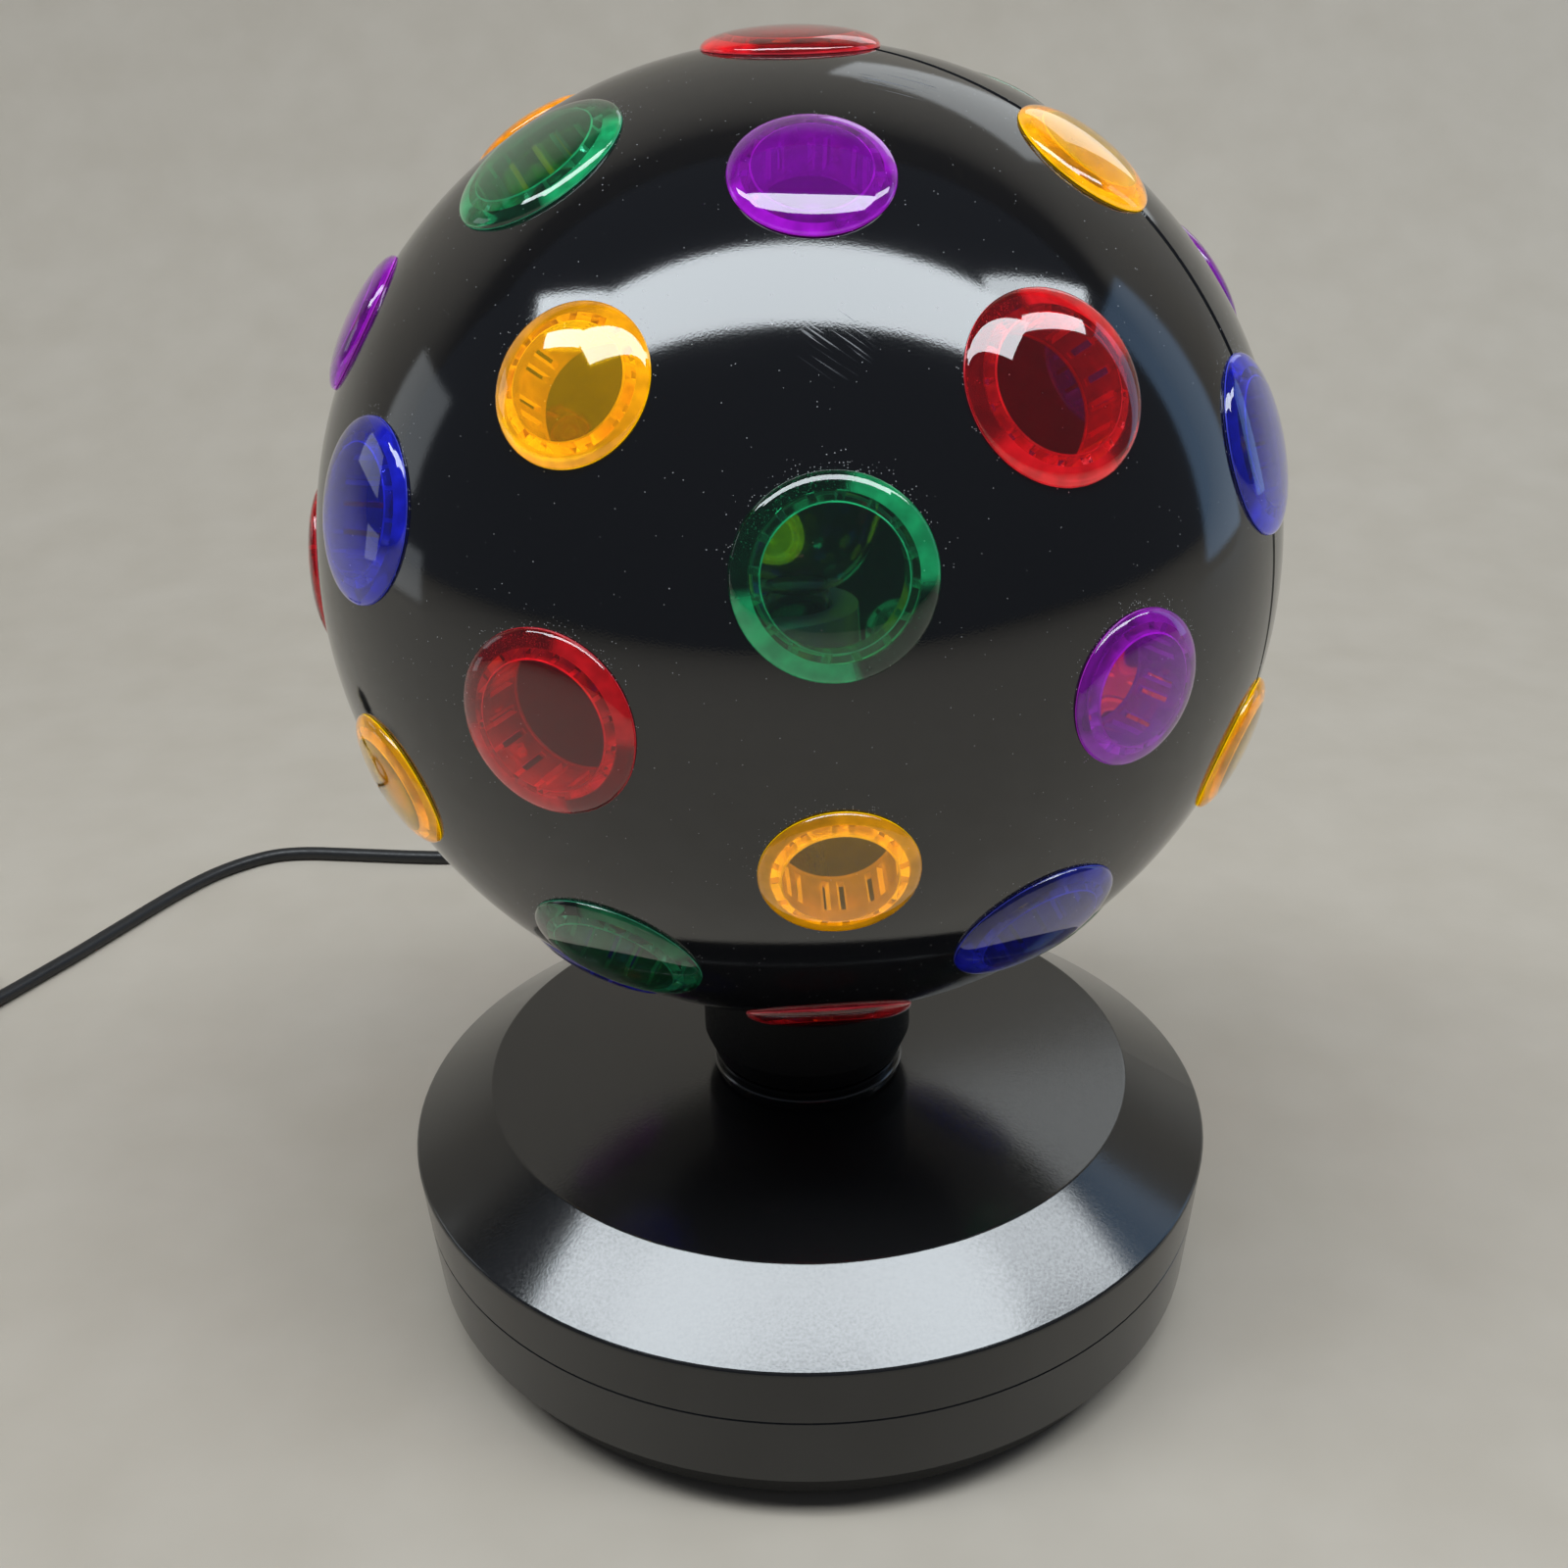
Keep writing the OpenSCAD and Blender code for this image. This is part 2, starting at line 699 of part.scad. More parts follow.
module motor_body() {
    color("#b4b6b2")
    difference() {
        union() {
            translate([motor_x, 0, motor_z])
                cylinder(r = motor_r, h = motor_h);
            motor_sites()
                translate([0, 0, motor_top_z - ear_t])
                    cylinder(r = ear_r, h = ear_t);
            translate([motor_x - ear_r, -motor_ear, motor_top_z - ear_t])
                cube([2 * ear_r, 2 * motor_ear, ear_t]);
        }
        motor_sites()
            translate([0, 0, motor_top_z - ear_t - over])
                cylinder(r = motor_screw_r + hole_gap, h = ear_t + 2 * over);
        translate([motor_x, 0, shaft_foot_z])
            cylinder(r = shaft_r + fit_gap, h = motor_h);
    }
}

module motor_screws() {
    color("#8f9094")
    motor_sites() {
        translate([0, 0, motor_top_z])
            cylinder(r = motor_screw_head_r, h = motor_screw_head_h);
        translate([0, 0, motor_top_z - motor_screw_len])
            cylinder(r = motor_screw_r, h = motor_screw_len + motor_screw_head_h / 2);
    }
}

// Spindle and hub

module spindle_tube() {
    color("#aeb0b4")
    difference() {
        translate([0, 0, spindle_z])
            tube(spindle_r, spindle_bore_r, hub_top_z - spindle_z);
        translate([0, 0, ring_z])
            tube(spindle_r + over, spindle_r - ring_groove, ring_t);
    }
}

module retaining_ring() {
    ring_in_r = spindle_r - ring_groove + fit_gap;
    color("#55565a")
    translate([0, 0, ring_z])
        difference() {
            tube(spindle_r + ring_w, ring_in_r, ring_t);
            translate([0, -ring_in_r / 2, -over])
                cube([2 * spindle_r, ring_in_r, ring_t + 2 * over]);
        }
}

module ball_hub() {
    color("#17171a")
    difference() {
        union() {
            difference() {
                rotate_extrude($fn = 120)
                    polygon([
                        [0, hub_z], [hub_foot_r, hub_z], [hub_r, hub_z + hub_flare_h],
                        [hub_r, pole_z + shell_wall + 2], [0, pole_z + shell_wall + 2]]);
                translate([0, 0, ball_z])
                    sphere(r = ball_r + seat_gap, $fn = 200);
            }
            translate([0, 0, pole_z - over])
                cylinder(r = hub_neck_r, h = hub_top_z - pole_z + over);
            translate([0, 0, hub_flange_z])
                cylinder(r = hub_flange_r, h = hub_flange_t);
        }
        translate([0, 0, hub_z - over])
            cylinder(r = spindle_r + fit_gap, h = hub_top_z - hub_z + 2 * over);
        translate([0, 0, grub_z])
            rotate([-90, 0, 0])
                cylinder(r = grub_r + fit_gap, h = hub_r + over);
    }
}

module hub_screw() {
    color("#55565a")
    translate([0, spindle_r, grub_z])
        rotate([-90, 0, 0])
            cylinder(r = grub_r, h = hub_r - spindle_r - grub_sink);
}

// Ball

function is_big(colour) = colour == "red" || colour == "green" || colour == "blue";
function lens_r(colour) = is_big(colour) ? big_lens_r : small_lens_r;
function skirt_r(colour) = is_big(colour) ? big_skirt_r : small_skirt_r;

// Holes for the lenses of one half and for the seam's lenses, widened by extra
module lens_holes(half, sites, extra) {
    for (s = sites)
        at_site(s[0], half == 0 ? s[1] : -s[1])
            translate([0, 0, in_r - 3 * lip_wall])
                cylinder(r = skirt_r(s[2]) + hole_gap + extra, h = shell_wall + 6 * lip_wall);
}

// Hole that clamps the hub, on the seam at the bottom
module hub_hole(r) {
    at_site(90, 180)
        translate([0, 0, in_r - 3 * lip_wall])
            cylinder(r = r, h = shell_wall + 6 * lip_wall);
}

module half_shell(half) {
    difference() {
        sphere(r = ball_r, $fn = 240);
        sphere(r = in_r, $fn = 240);
        translate([-ball_r - over, -ball_r - over, -2 * ball_r])
            cube([2 * (ball_r + over), 2 * (ball_r + over), 2 * ball_r]);
        rotate_extrude($fn = 240)
            polygon([[ball_r - seam_groove, 0], [ball_r + over, 0], [ball_r + over, seam_groove + over]]);
        in_pattern(half)
            lens_holes(0, shell_sites, 0);
        lens_holes(half, seam_sites, 0);
        hub_hole(hub_neck_r + hole_gap);
    }
}

module ball_shell_front() {
    color("#0c0c0e")
    in_shell(0)
        half_shell(0);
}

module ball_shell_rear() {
    lip_out_r = sqrt(in_r * in_r - lip_reach * lip_reach) - hole_gap;
    lip_in_r = in_r - lip_wall;
    root_r = in_r + shell_wall / 3;
    color("#0e0e10")
    in_shell(180) {
        half_shell(180);
        difference() {
            rotate_extrude($fn = 240)
                polygon([
                    [lip_in_r, -lip_reach], [lip_out_r, -lip_reach], [lip_out_r, 0], [root_r, 0],
                    [root_r, lip_reach], [lip_in_r, lip_reach]]);
            lens_holes(180, seam_sites, barb_w + hole_gap);
            hub_hole(hub_flange_r + hole_gap);
        }
    }
}

// Bars across a skirt, one for each pair of opposite snap tongues
module tongue_bars(length, width, low, high) {
    for (a = [0:tongue_step:180 - tongue_step])
        rotate([0, 0, a])
            translate([-length / 2, -width / 2, low])
                cube([length, width, high - low]);
}

// One lens cap along +Z: an elliptical dome and flange on a skirt with barbed snap tongues
module lens(colour) {
    r = lens_r(colour);
    s = skirt_r(colour);
    bore = s - lens_wall;
    seat_h = ball_h(s + hole_gap) + seat_gap;
    rim_h = ball_h(r) + seat_gap;
    crown_h = seat_h + lens_crown;
    brow_h = rim_h + lens_edge;
    dome_h = crown_h - brow_h;
    roof_sag = dome_h * (1 - sqrt(1 - pow(bore / r, 2)));
    roof_r = (bore * bore + roof_sag * roof_sag) / (2 * roof_sag);
    roof_turn = asin(bore / roof_r);
    skirt_foot_h = seat_h - skirt_depth;
    barb_h = ball_in_h(s + hole_gap + barb_w) - 2 * hole_gap;
    dome_steps = 10;
    roof_steps = 6;
    span = 2 * (s + 2 * barb_w);
    slot_low = skirt_foot_h + skirt_ring;
    slot_high = seat_h - skirt_ring;
    difference() {
        rotate_extrude()
            polygon(concat(
                [for (i = [0:dome_steps])
                    [r * sin(90 * i / dome_steps), brow_h + dome_h * cos(90 * i / dome_steps)]],
                [[r, rim_h], [s, seat_h], [s, skirt_foot_h], [bore, skirt_foot_h]],
                [for (i = [roof_steps:-1:0])
                    [roof_r * sin(roof_turn * i / roof_steps),
                     crown_h - lens_wall - roof_r * (1 - cos(roof_turn * i / roof_steps))]]));
        difference() {
            tongue_bars(span, tongue_w + 2 * slot_w, slot_low, slot_high);
            tongue_bars(span + over, tongue_w, slot_low - over, slot_high + over);
        }
    }
    intersection() {
        rotate_extrude()
            polygon([
                [s - lens_wall / 2, barb_h], [s + barb_w, barb_h], [s, barb_h - barb_ramp],
                [s - lens_wall / 2, barb_h - barb_ramp]]);
        tongue_bars(span, tongue_w, slot_low, slot_high);
    }
}

// Every lens of one colour
module lens_set(colour) {
    for (half = [0, 180])
        in_shell(half)
            in_pattern(half)
                for (s = shell_sites)
                    if (s[2] == colour)
                        at_site(s[0], s[1])
                            lens(colour);
    in_shell(0)
        for (s = seam_sites)
            if (s[2] == colour)
                at_site(s[0], s[1])
                    lens(colour);
}

module red_lenses() { color("#c8102a", 0.8) lens_set("red"); }
module yellow_lenses() { color("#f2a20c", 0.8) lens_set("yellow"); }
module green_lenses() { color("#0c7a3c", 0.8) lens_set("green"); }
module blue_lenses() { color("#1a22a8", 0.8) lens_set("blue"); }
module purple_lenses() { color("#7a1496", 0.8) lens_set("purple"); }

// Lamp

module lamp_post() {
    color("#c4c6c8")
    difference() {
        union() {
            translate([0, 0, post_foot_z])
                cylinder(r = post_r, h = holder_z + socket_h - post_foot_z);
            translate([0, 0, post_boss_z])
                cylinder(r = post_collar_r, h = post_collar_t);
        }
        translate([0, 0, post_foot_z - over])
            cylinder(r = post_bore_r, h = holder_z + socket_h - post_foot_z + 2 * over);
        translate([0, 0, lead_z])
            rotate([-90, 0, 0])
                cylinder(r = lead_hole_r, h = post_r + over);
    }
}

module post_nut() {
    color("#b9a15a")
    translate([0, 0, foot_h + nut_pocket_h - post_nut_h])
        difference() {
            cylinder(r = post_nut_r, h = post_nut_h, $fn = 6);
            translate([0, 0, -over])
                cylinder(r = post_r + fit_gap, h = post_nut_h + 2 * over);
        }
}

module lamp_holder() {
    color("#ece8dc")
    difference() {
        translate([0, 0, holder_z])
            cylinder(r = holder_r, h = holder_h);
        translate([0, 0, holder_z - over])
            cylinder(r = post_r + fit_gap, h = socket_h + over);
        translate([0, 0, cup_z])
            cylinder(r = cap_r + 2 * fit_gap, h = holder_h);
    }
}

module bulb_cap() {
    cap_foot_z = cup_z + cap_tip_h;
    rings = floor((cap_top_z - cap_foot_z) / thread_pitch);
    color("#c9b77a")
    union() {
        translate([0, 0, cup_z])
            cylinder(r = cap_r / 2.5, h = cap_tip_h);
        translate([0, 0, cap_foot_z])
            cylinder(r = cap_r - thread_depth, h = cap_top_z - cap_foot_z);
        for (i = [0:rings - 1])
            translate([0, 0, cap_foot_z + i * thread_pitch])
                cylinder(r = cap_r, h = thread_pitch / 2);
    }
}

// Bulb outline drawn in by inset
module bulb_form(inset) {
    translate([0, 0, bulb_z])
        sphere(r = bulb_r - inset);
    translate([0, 0, cap_top_z + inset])
        cylinder(r = bulb_neck_r - inset, h = bulb_z - cap_top_z - inset);
}

module bulb_glass() {
    color("#f4f0e4", 0.5)
    difference() {
        bulb_form(0);
        bulb_form(bulb_wall);
    }
}

// Wiring

// Two lamp leads down through the post, out at its side hole and on to the terminal block
function lamp_lead(side) =
    let (x = side * lead_hole_r / 2)
    [[x, 0, holder_z + socket_h], [x, 0, lead_z + 3], [x, 1, lead_z + 1], [x, 3, lead_z],
     [x, block_y - lamp_lead_bend, lead_z], [lamp_pole_x * side, block_y - lead_entry, wire_z],
     [lamp_pole_x * side, block_y, wire_z]];

// Two motor leads from the side of the can to the terminal block
function motor_lead(side) =
    let (x = motor_lead_x + lead_pitch * side, y = sqrt(motor_r * motor_r - x * x) + lead_gap)
    let (z = motor_z + motor_h / 2, end_x = -motor_pole_x + lead_pitch * side)
    [[motor_x + x, y, z], [motor_x + x, block_y - motor_lead_bend, z],
     [end_x - motor_lead_shift, block_y - lead_entry, wire_z],
     [end_x, block_y - lead_straight, wire_z], [end_x, block_y, wire_z]];

// Two switch leads from the back of the switch to the terminal block
function switch_lead(side) =
    let (out = [-sin(switch_turn), cos(switch_turn), 0], along = [cos(switch_turn), sin(switch_turn), 0])
    let (back_r = wall_r(switch_z) - switch_depth - 2 * seat_gap)
    let (start = back_r * out + lead_straight * side * along + [0, 0, switch_z + wire_r])
    let (end_x = block_size[0] / 2, end_y = block_y + block_size[1] / 2 - lead_pitch * side)
    [start, start - switch_lead_out * out, [end_x + switch_lead_x + 2 * side, end_y, wire_z],
     [end_x, end_y, wire_z]];

module wiring() {
    block_back = block_y + block_size[1];
    relief_back = relief_play + relief_flange_t + base_wall;
    color("#7a4a2a") {
        for (side = [-1, 1]) {
            swept(lamp_lead(side), wire_r, 6, [1, 0, 0]);
            swept(motor_lead(side), wire_r, 6);
            swept(switch_lead(side), wire_r, 6);
        }
        // end of the cord inside the base
        swept([rear_point(-relief_back, relief_z), rear_point(-relief_back - core_straight, relief_z),
               [0, block_back + lead_straight, wire_z], [0, block_back, wire_z]], core_r, 8);
    }
}

module terminal_block() {
    pole_w = block_size[0] / block_poles;
    well_z = block_size[2] - block_well_h;
    color("#e8e6de")
    translate([-block_size[0] / 2, block_y, pan_floor_z])
        difference() {
            cube(block_size);
            for (i = [0:block_poles - 1])
                translate([pole_w * (i + 0.5), block_size[1] / 2, well_z])
                    cylinder(d = block_well_d, h = block_well_h + over, $fn = 32);
        }
}

// Switch

module switch_body() {
    bezel_w = switch_out_w + 2 * bezel_rim;
    bezel_h = switch_out_h + 2 * bezel_rim;
    color("#151517")
    on_wall(switch_turn, switch_z)
        difference() {
            union() {
                translate([-switch_out_w / 2, -switch_depth, -switch_out_h / 2])
                    cube([switch_out_w, switch_depth + seat_gap, switch_out_h]);
                translate([0, seat_gap, 0])
                    rotate([-90, 0, 0])
                        linear_extrude(bezel_t)
                            polygon(round_rect(bezel_w, bezel_h, bezel_round));
            }
            translate([-switch_cup_w / 2, pivot_y - rocker_back - 1, -switch_cup_h / 2])
                cube([switch_cup_w, switch_depth + 2 * bezel_t, switch_cup_h]);
            translate([0, pivot_y, -pivot_hole_len / 2])
                cylinder(r = pivot_r + fit_gap, h = pivot_hole_len);
        }
}

module switch_rocker() {
    arc_steps = 10;
    half_w = rocker_w / 2;
    nose_y = rocker_nose - pivot_y;
    edge = [[half_w, rocker_hip], [half_w - rocker_draft, nose_y - rocker_chamfer],
            [half_w - rocker_draft - rocker_chamfer, nose_y]];
    color("#202024")
    on_wall(switch_turn, switch_z)
        translate([0, pivot_y, 0])
            rotate([0, 0, -rocker_travel / 2])
                union() {
                    linear_extrude(rocker_h, center = true)
                        polygon(concat(
                            edge, [[0, rocker_dip - pivot_y]],
                            [for (i = [2:-1:0]) [-edge[i][0], edge[i][1]]],
                            [for (i = [1:arc_steps - 1])
                                rocker_back * [-cos(180 * i / arc_steps), -sin(180 * i / arc_steps)]]));
                    cylinder(r = pivot_r, h = pivot_len, center = true);
                }
}

// Cord

// Closed tube of the given sides round a list of points, none of whose legs runs along level
module swept(points, r, sides, level = [0, 0, 1]) {
    n = len(points);
    along = [for (i = [0:n - 1]) unit(points[min(i + 1, n - 1)] - points[max(i - 1, 0)])];
    rings = [for (i = [0:n - 1])
        let (u = unit(cross(level, along[i])), v = cross(along[i], u))
        for (k = [0:sides - 1])
            points[i] + r * (cos(360 * (k + 0.5) / sides) * u + sin(360 * (k + 0.5) / sides) * v)];
    skin = [for (i = [0:n - 2], k = [0:sides - 1])
        let (a = i * sides + k, b = i * sides + (k + 1) % sides)
        each [[a, a + sides, b], [b, a + sides, b + sides]]];
    ends = [for (k = [1:sides - 2])
        each [[0, k, k + 1], [(n - 1) * sides, (n - 1) * sides + k + 1, (n - 1) * sides + k]]];
    polyhedron(points = rings, faces = concat(skin, ends));
}

// Radius and height of the coil after t turns: it winds in and out by turns, a layer at a time
function coil_fold(t) = let (m = t / coil_layer_turns, k = floor(m / 2) * 2) abs(m - k - 1);
function coil_climb(t) =
    let (m = t / coil_layer_turns, k = round(m), near = (m - k) * coil_layer_turns)
    k < 1 || k > coil_layers - 1 || abs(near) > 0.25
        ? floor(m)
        : k - 0.5 + 0.5 * sin(360 * near);
function coil_spot(t) =
    let (r = coil_in_r + (coil_out_r - coil_in_r) * coil_fold(t), a = coil_start - 360 * t)
    [coil_centre[0] + r * cos(a), coil_centre[1] + r * sin(a),
     coil_z + coil_pitch * min(coil_climb(t), coil_layers - 1)];
coil_loops = [for (i = [0:coil_last]) coil_spot(i / coil_steps)];
coil_heading = [sin(coil_start), -cos(coil_start), 0];
coil_entry = coil_spot(0) - cord_d * coil_heading;
coil_exit = coil_spot(coil_turns);
coil_path = concat([coil_entry], coil_loops, [coil_exit], [for (p = tail_points) coil_exit + p]);
plug_spot = coil_path[len(coil_path) - 1];

relief_tip = rear_point(relief_len, relief_z);
run_path = concat([relief_tip], run_points, [coil_entry]);

function path_length(p) = let (n = len(p))
    [for (i = [0:n - 2]) norm(p[i + 1] - p[i])] * [for (i = [0:n - 2]) 1];
coil_gap = min([for (i = [0:coil_last - coil_steps / 2]) for (j = [i + coil_steps / 2:coil_last])
    norm(coil_loops[i] - coil_loops[j])]) - cord_d;
echo(coil_least_gap = coil_gap, cord_length = path_length(run_path) + path_length(coil_path));

module strain_relief() {
    inside = -base_wall - relief_play;
    color("#161618")
    on_wall(0, relief_z)
        rotate([-90, 0, 0])
            rotate_extrude()
                polygon([
                    [0, inside - relief_flange_t], [relief_r, inside - relief_flange_t], [relief_r, inside],
                    [relief_groove_r, inside], [relief_groove_r, seat_gap], [relief_r, seat_gap],
                    [relief_r, 2 * relief_flange_t], [relief_tip_r, relief_len], [0, relief_len]]);
}

module cord_run() { color("#121214") swept(run_path, cord_r, 8); }
module cord_coil() { color("#121214") swept(coil_path, cord_r, 6); }

module cord_tie() {
    in_edge = coil_in_r - cord_r - 2.5 * tie_gap;
    out_edge = coil_out_r + cord_r + tie_gap;
    low = coil_z - cord_r - tie_gap;
    high = coil_z + coil_pitch * (coil_layers - 1) + cord_r + tie_gap;
    w = out_edge - in_edge;
    h = high - low;
    color("#202022")
    translate([coil_centre[0], coil_centre[1] + (in_edge + out_edge) / 2, (low + high) / 2])
        rotate([90, 0, 90])
            linear_extrude(tie_w, center = true)
                difference() {
                    polygon(round_rect(w + 2 * tie_t, h + 2 * tie_t, tie_round));
                    polygon(round_rect(w, h, tie_round - tie_t));
                }
}

module plug_body() {
    color("#141416")
    translate(plug_spot)
        rotate([-90, 0, 0])
            union() {
                cylinder(r1 = plug_neck_tip_r, r2 = plug_neck_r, h = plug_neck_len);
                translate([0, 0, plug_neck_len - plug_neck_sink])
                    linear_extrude(plug_len - plug_neck_len + plug_neck_sink)
                        polygon(round_rect(plug_w, plug_t, plug_t / 4));
            }
}

module plug_blades() {
    color("#c9b98a")
    translate(plug_spot)
        for (side = [-1, 1])
            translate([side * blade_gap / 2 - blade_t / 2, plug_len, -blade_w / 2])
                cube([blade_t, blade_len, blade_w]);
}

base_cover();
base_pan();
rubber_feet();
base_screws();
neck_bush();
thrust_washer();
motor_body();
motor_screws();
motor_shaft();
drive_pinion();
spindle_gear();
spindle_tube();
retaining_ring();
ball_hub();
hub_screw();
ball_shell_front();
ball_shell_rear();
red_lenses();
yellow_lenses();
green_lenses();
blue_lenses();
purple_lenses();
lamp_post();
post_nut();
lamp_holder();
bulb_cap();
bulb_glass();
wiring();
terminal_block();
switch_body();
switch_rocker();
strain_relief();
cord_run();
cord_coil();
cord_tie();
plug_body();
plug_blades();
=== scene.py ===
"""Dressed scene of a rotating disco light ball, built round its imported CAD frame.

The ball's two shells, the lens caps and the cord are modelled here in finer detail than
the solids, in the same frame and in metres. The other nodes keep their CAD shapes. Every
surface has its own procedural material.
"""
import math

import bmesh
import bpy
from mathutils import Matrix, Vector


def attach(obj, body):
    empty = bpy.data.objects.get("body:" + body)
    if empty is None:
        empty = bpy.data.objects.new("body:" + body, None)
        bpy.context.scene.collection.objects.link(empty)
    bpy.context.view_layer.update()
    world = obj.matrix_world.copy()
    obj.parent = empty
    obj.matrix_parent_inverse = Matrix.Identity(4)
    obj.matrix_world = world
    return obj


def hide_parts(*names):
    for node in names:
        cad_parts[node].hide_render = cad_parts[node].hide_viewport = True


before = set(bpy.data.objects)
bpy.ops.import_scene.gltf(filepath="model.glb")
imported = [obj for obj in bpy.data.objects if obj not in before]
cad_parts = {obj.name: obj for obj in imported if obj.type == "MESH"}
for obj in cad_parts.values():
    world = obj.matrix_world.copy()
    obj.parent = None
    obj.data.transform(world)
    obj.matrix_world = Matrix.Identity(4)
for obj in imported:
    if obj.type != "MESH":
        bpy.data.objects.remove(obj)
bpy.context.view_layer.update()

MM = 0.001
# a point of a profile nearer to the axis than this is on it
ON_AXIS = 1e-7

# Ball, as in the part's source
BALL_R = 100 * MM
BALL_Z = 186 * MM
BALL_CENTRE = Vector((0, 0, BALL_Z))
SHELL_WALL = 2.4 * MM
SEAM_TURN = -24.5
SEAM_GROOVE = 0.7 * MM
SEAM_EDGE = 0.3 * MM
HOLE_GAP = 0.25 * MM
SEAT_GAP = 0.05 * MM
HUB_NECK_R = 12 * MM
RING1_TILT = 33.2
RING2_TILT = 62
PATTERN_DROP = 1
PATTERN_TURN = {0: -1.5, 180: 1.5}
RING1_COLOURS = ["yellow", "green", "yellow", "green", "yellow", "blue"]
RING2_COLOURS = [
    "purple", "red", "purple", "blue", "red", "blue", "yellow", "red", "purple", "green",
]
SEAM_COLOURS = [
    "red", "yellow", "blue", "yellow", "green", None, "purple", "yellow", "blue", "yellow",
]
# reach of the plugs that cut the holes, below and above the ball's surface
PLUG_BELOW = 8 * MM
PLUG_ABOVE = 6 * MM
HOLE_STEPS = 72
SHELL_STEPS = 240
OUTER_STEPS = 96
INNER_STEPS = 64
# a face this nearly square to the radius lies on the sphere
ROUND_FACE = 0.995

# Finish of the ball
BALL_BLACK = (0.0045, 0.0045, 0.0055)
DUST_GREY = (0.42, 0.42, 0.43)
WORN_GREY = (0.12, 0.125, 0.14)
BALL_IOR = 1.5
BALL_SHINE = 0.9
# share of dust at a lens's rim, what its upper side adds, how far that reaches, and the share elsewhere
DUST_RIM = 0.04
DUST_UPPER = 0.65
DUST_REACH = 0.8 * MM
DUST_ELSEWHERE = 0.004
# scuffs: middle, direction along, direction out, reach in metres, lines to the metre
FRONT_SCUFF = ((0.0065, -0.0796, 0.246), (0.807, -0.312, -0.502), (0.065, -0.796, 0.6), 0.007, 2000)
TOP_SCUFF = ((0.0193, -0.0269, 0.2801), (0.94, -0.1, -0.32), (0.193, -0.269, 0.941), 0.008, 1100)
FRONT_WEAR = 0.35
SCUFF_STRETCH = 30

# Lens caps
LENS_R = {"big": 17.2 * MM, "small": 14.4 * MM}
SKIRT_R = {"big": 13.7 * MM, "small": 11.8 * MM}
LENS_SIZE = {"red": "big", "green": "big", "blue": "big", "yellow": "small", "purple": "small"}
LENS_CROWN = 3.6 * MM
LENS_EDGE = 0.3 * MM
LENS_WALL = 1.5 * MM
SKIRT_DEPTH = 10 * MM
TONGUE_W = 4.2 * MM
TONGUE_STEP = 45
SLOT_W = 1.2 * MM
SKIRT_RING = 1.6 * MM
BARB_W = 0.8 * MM
BARB_RAMP = 2 * MM
BARB_FOOT = 0.1 * MM
BARB_SIDE_GAP = 0.1 * MM
LENS_BEVEL = 0.25 * MM
RIM_ROUND = 0.08 * MM
RIM_LIFT = 0.02 * MM
SLOT_REACH = 2 * MM
LENS_STEPS = 96
DOME_STEPS = 30
ROOF_STEPS = 20
LENS_CREASE = 30
# limits that tell a lens's faces apart
DOME_SHARE = 0.97
BEVEL_LOW = 0.55
BEVEL_HIGH = 0.85
UPRIGHT = 0.3
SLOT_MARGIN = 0.1 * MM
FLANGE_DEPTH = 0.5 * MM
# colour left of white light that passes once through a lens's wall
LENS_TINT = {
    "red": (0.90, 0.07, 0.10),
    "yellow": (1.0, 0.61, 0.0),
    "green": (0.10, 0.62, 0.36),
    "blue": (0.09, 0.11, 0.80),
    "purple": (0.56, 0.05, 0.70),
}
# tint and haze of the roof of a lens's bore
ROOF_TINT = {**LENS_TINT, "yellow": (0.88, 0.76, 0.0)}
ROOF_HAZE = {"red": 0.06, "yellow": 0.26, "green": 0.01, "blue": 0.12, "purple": 0.26}
# painted light in a flange's dim sectors, and the strength of a painted glow where a lens has painted light
DIM_SECTOR = {"red": 0.14, "yellow": 0.7, "green": 0.0, "blue": 0.25, "purple": 0.45}
PAINTED_GLOW = {"red": 0.06, "yellow": 0.26, "green": 0.03, "blue": 0.06, "purple": 0.10}
LENS_IOR = 1.49
DOME_COAT = 0.8
DOME_COAT_ROUGH = 0.02
ROOF_STREAK = 0.9
MOULD_STREAK = 0.6
# light that passes the dark parts of a moulding and the parts with painted light, which are made less clear
DARK_PASS = 0.98
LIT_PASS = 0.3
# painted light at a moulding's edges, in its slots and on its skirt
EDGE_LIT = 1.3
SLOT_LIT = 2.2
SKIRT_LIT = 0.25
SKIRT_DIM_LIT = 0.6
# sectors of a flange with painted light, in degrees: near its lowest point, which sways from lens to lens,
# and opposite
LOW_TURN = -35
LOW_SWAY = 25
LOW_PACE = 2.4
LOW_HALF = 50
OPPOSITE_TURN = 18
OPPOSITE_HALF = 46
SECTOR_FADE = 9

# Bulb
GLASS_IOR = 1.5

# Base: heights of its side wall and neck, and how much each zone reflects, with painted shade that dims the
# reflection of the wall, the plinth and the neck
WALL_FOOT = 11.5 * MM
WALL_TOP = 43 * MM
NECK_FOOT = 57.6 * MM
FADE = 0.1 * MM
WALL_SHADED_SHINE = 0.55
PLINTH_SHADED_SHINE = 0.25
NECK_SHADED_SHINE = 0.1
BASE_SHINE = 1.0
HUB_SHINE = 0.2

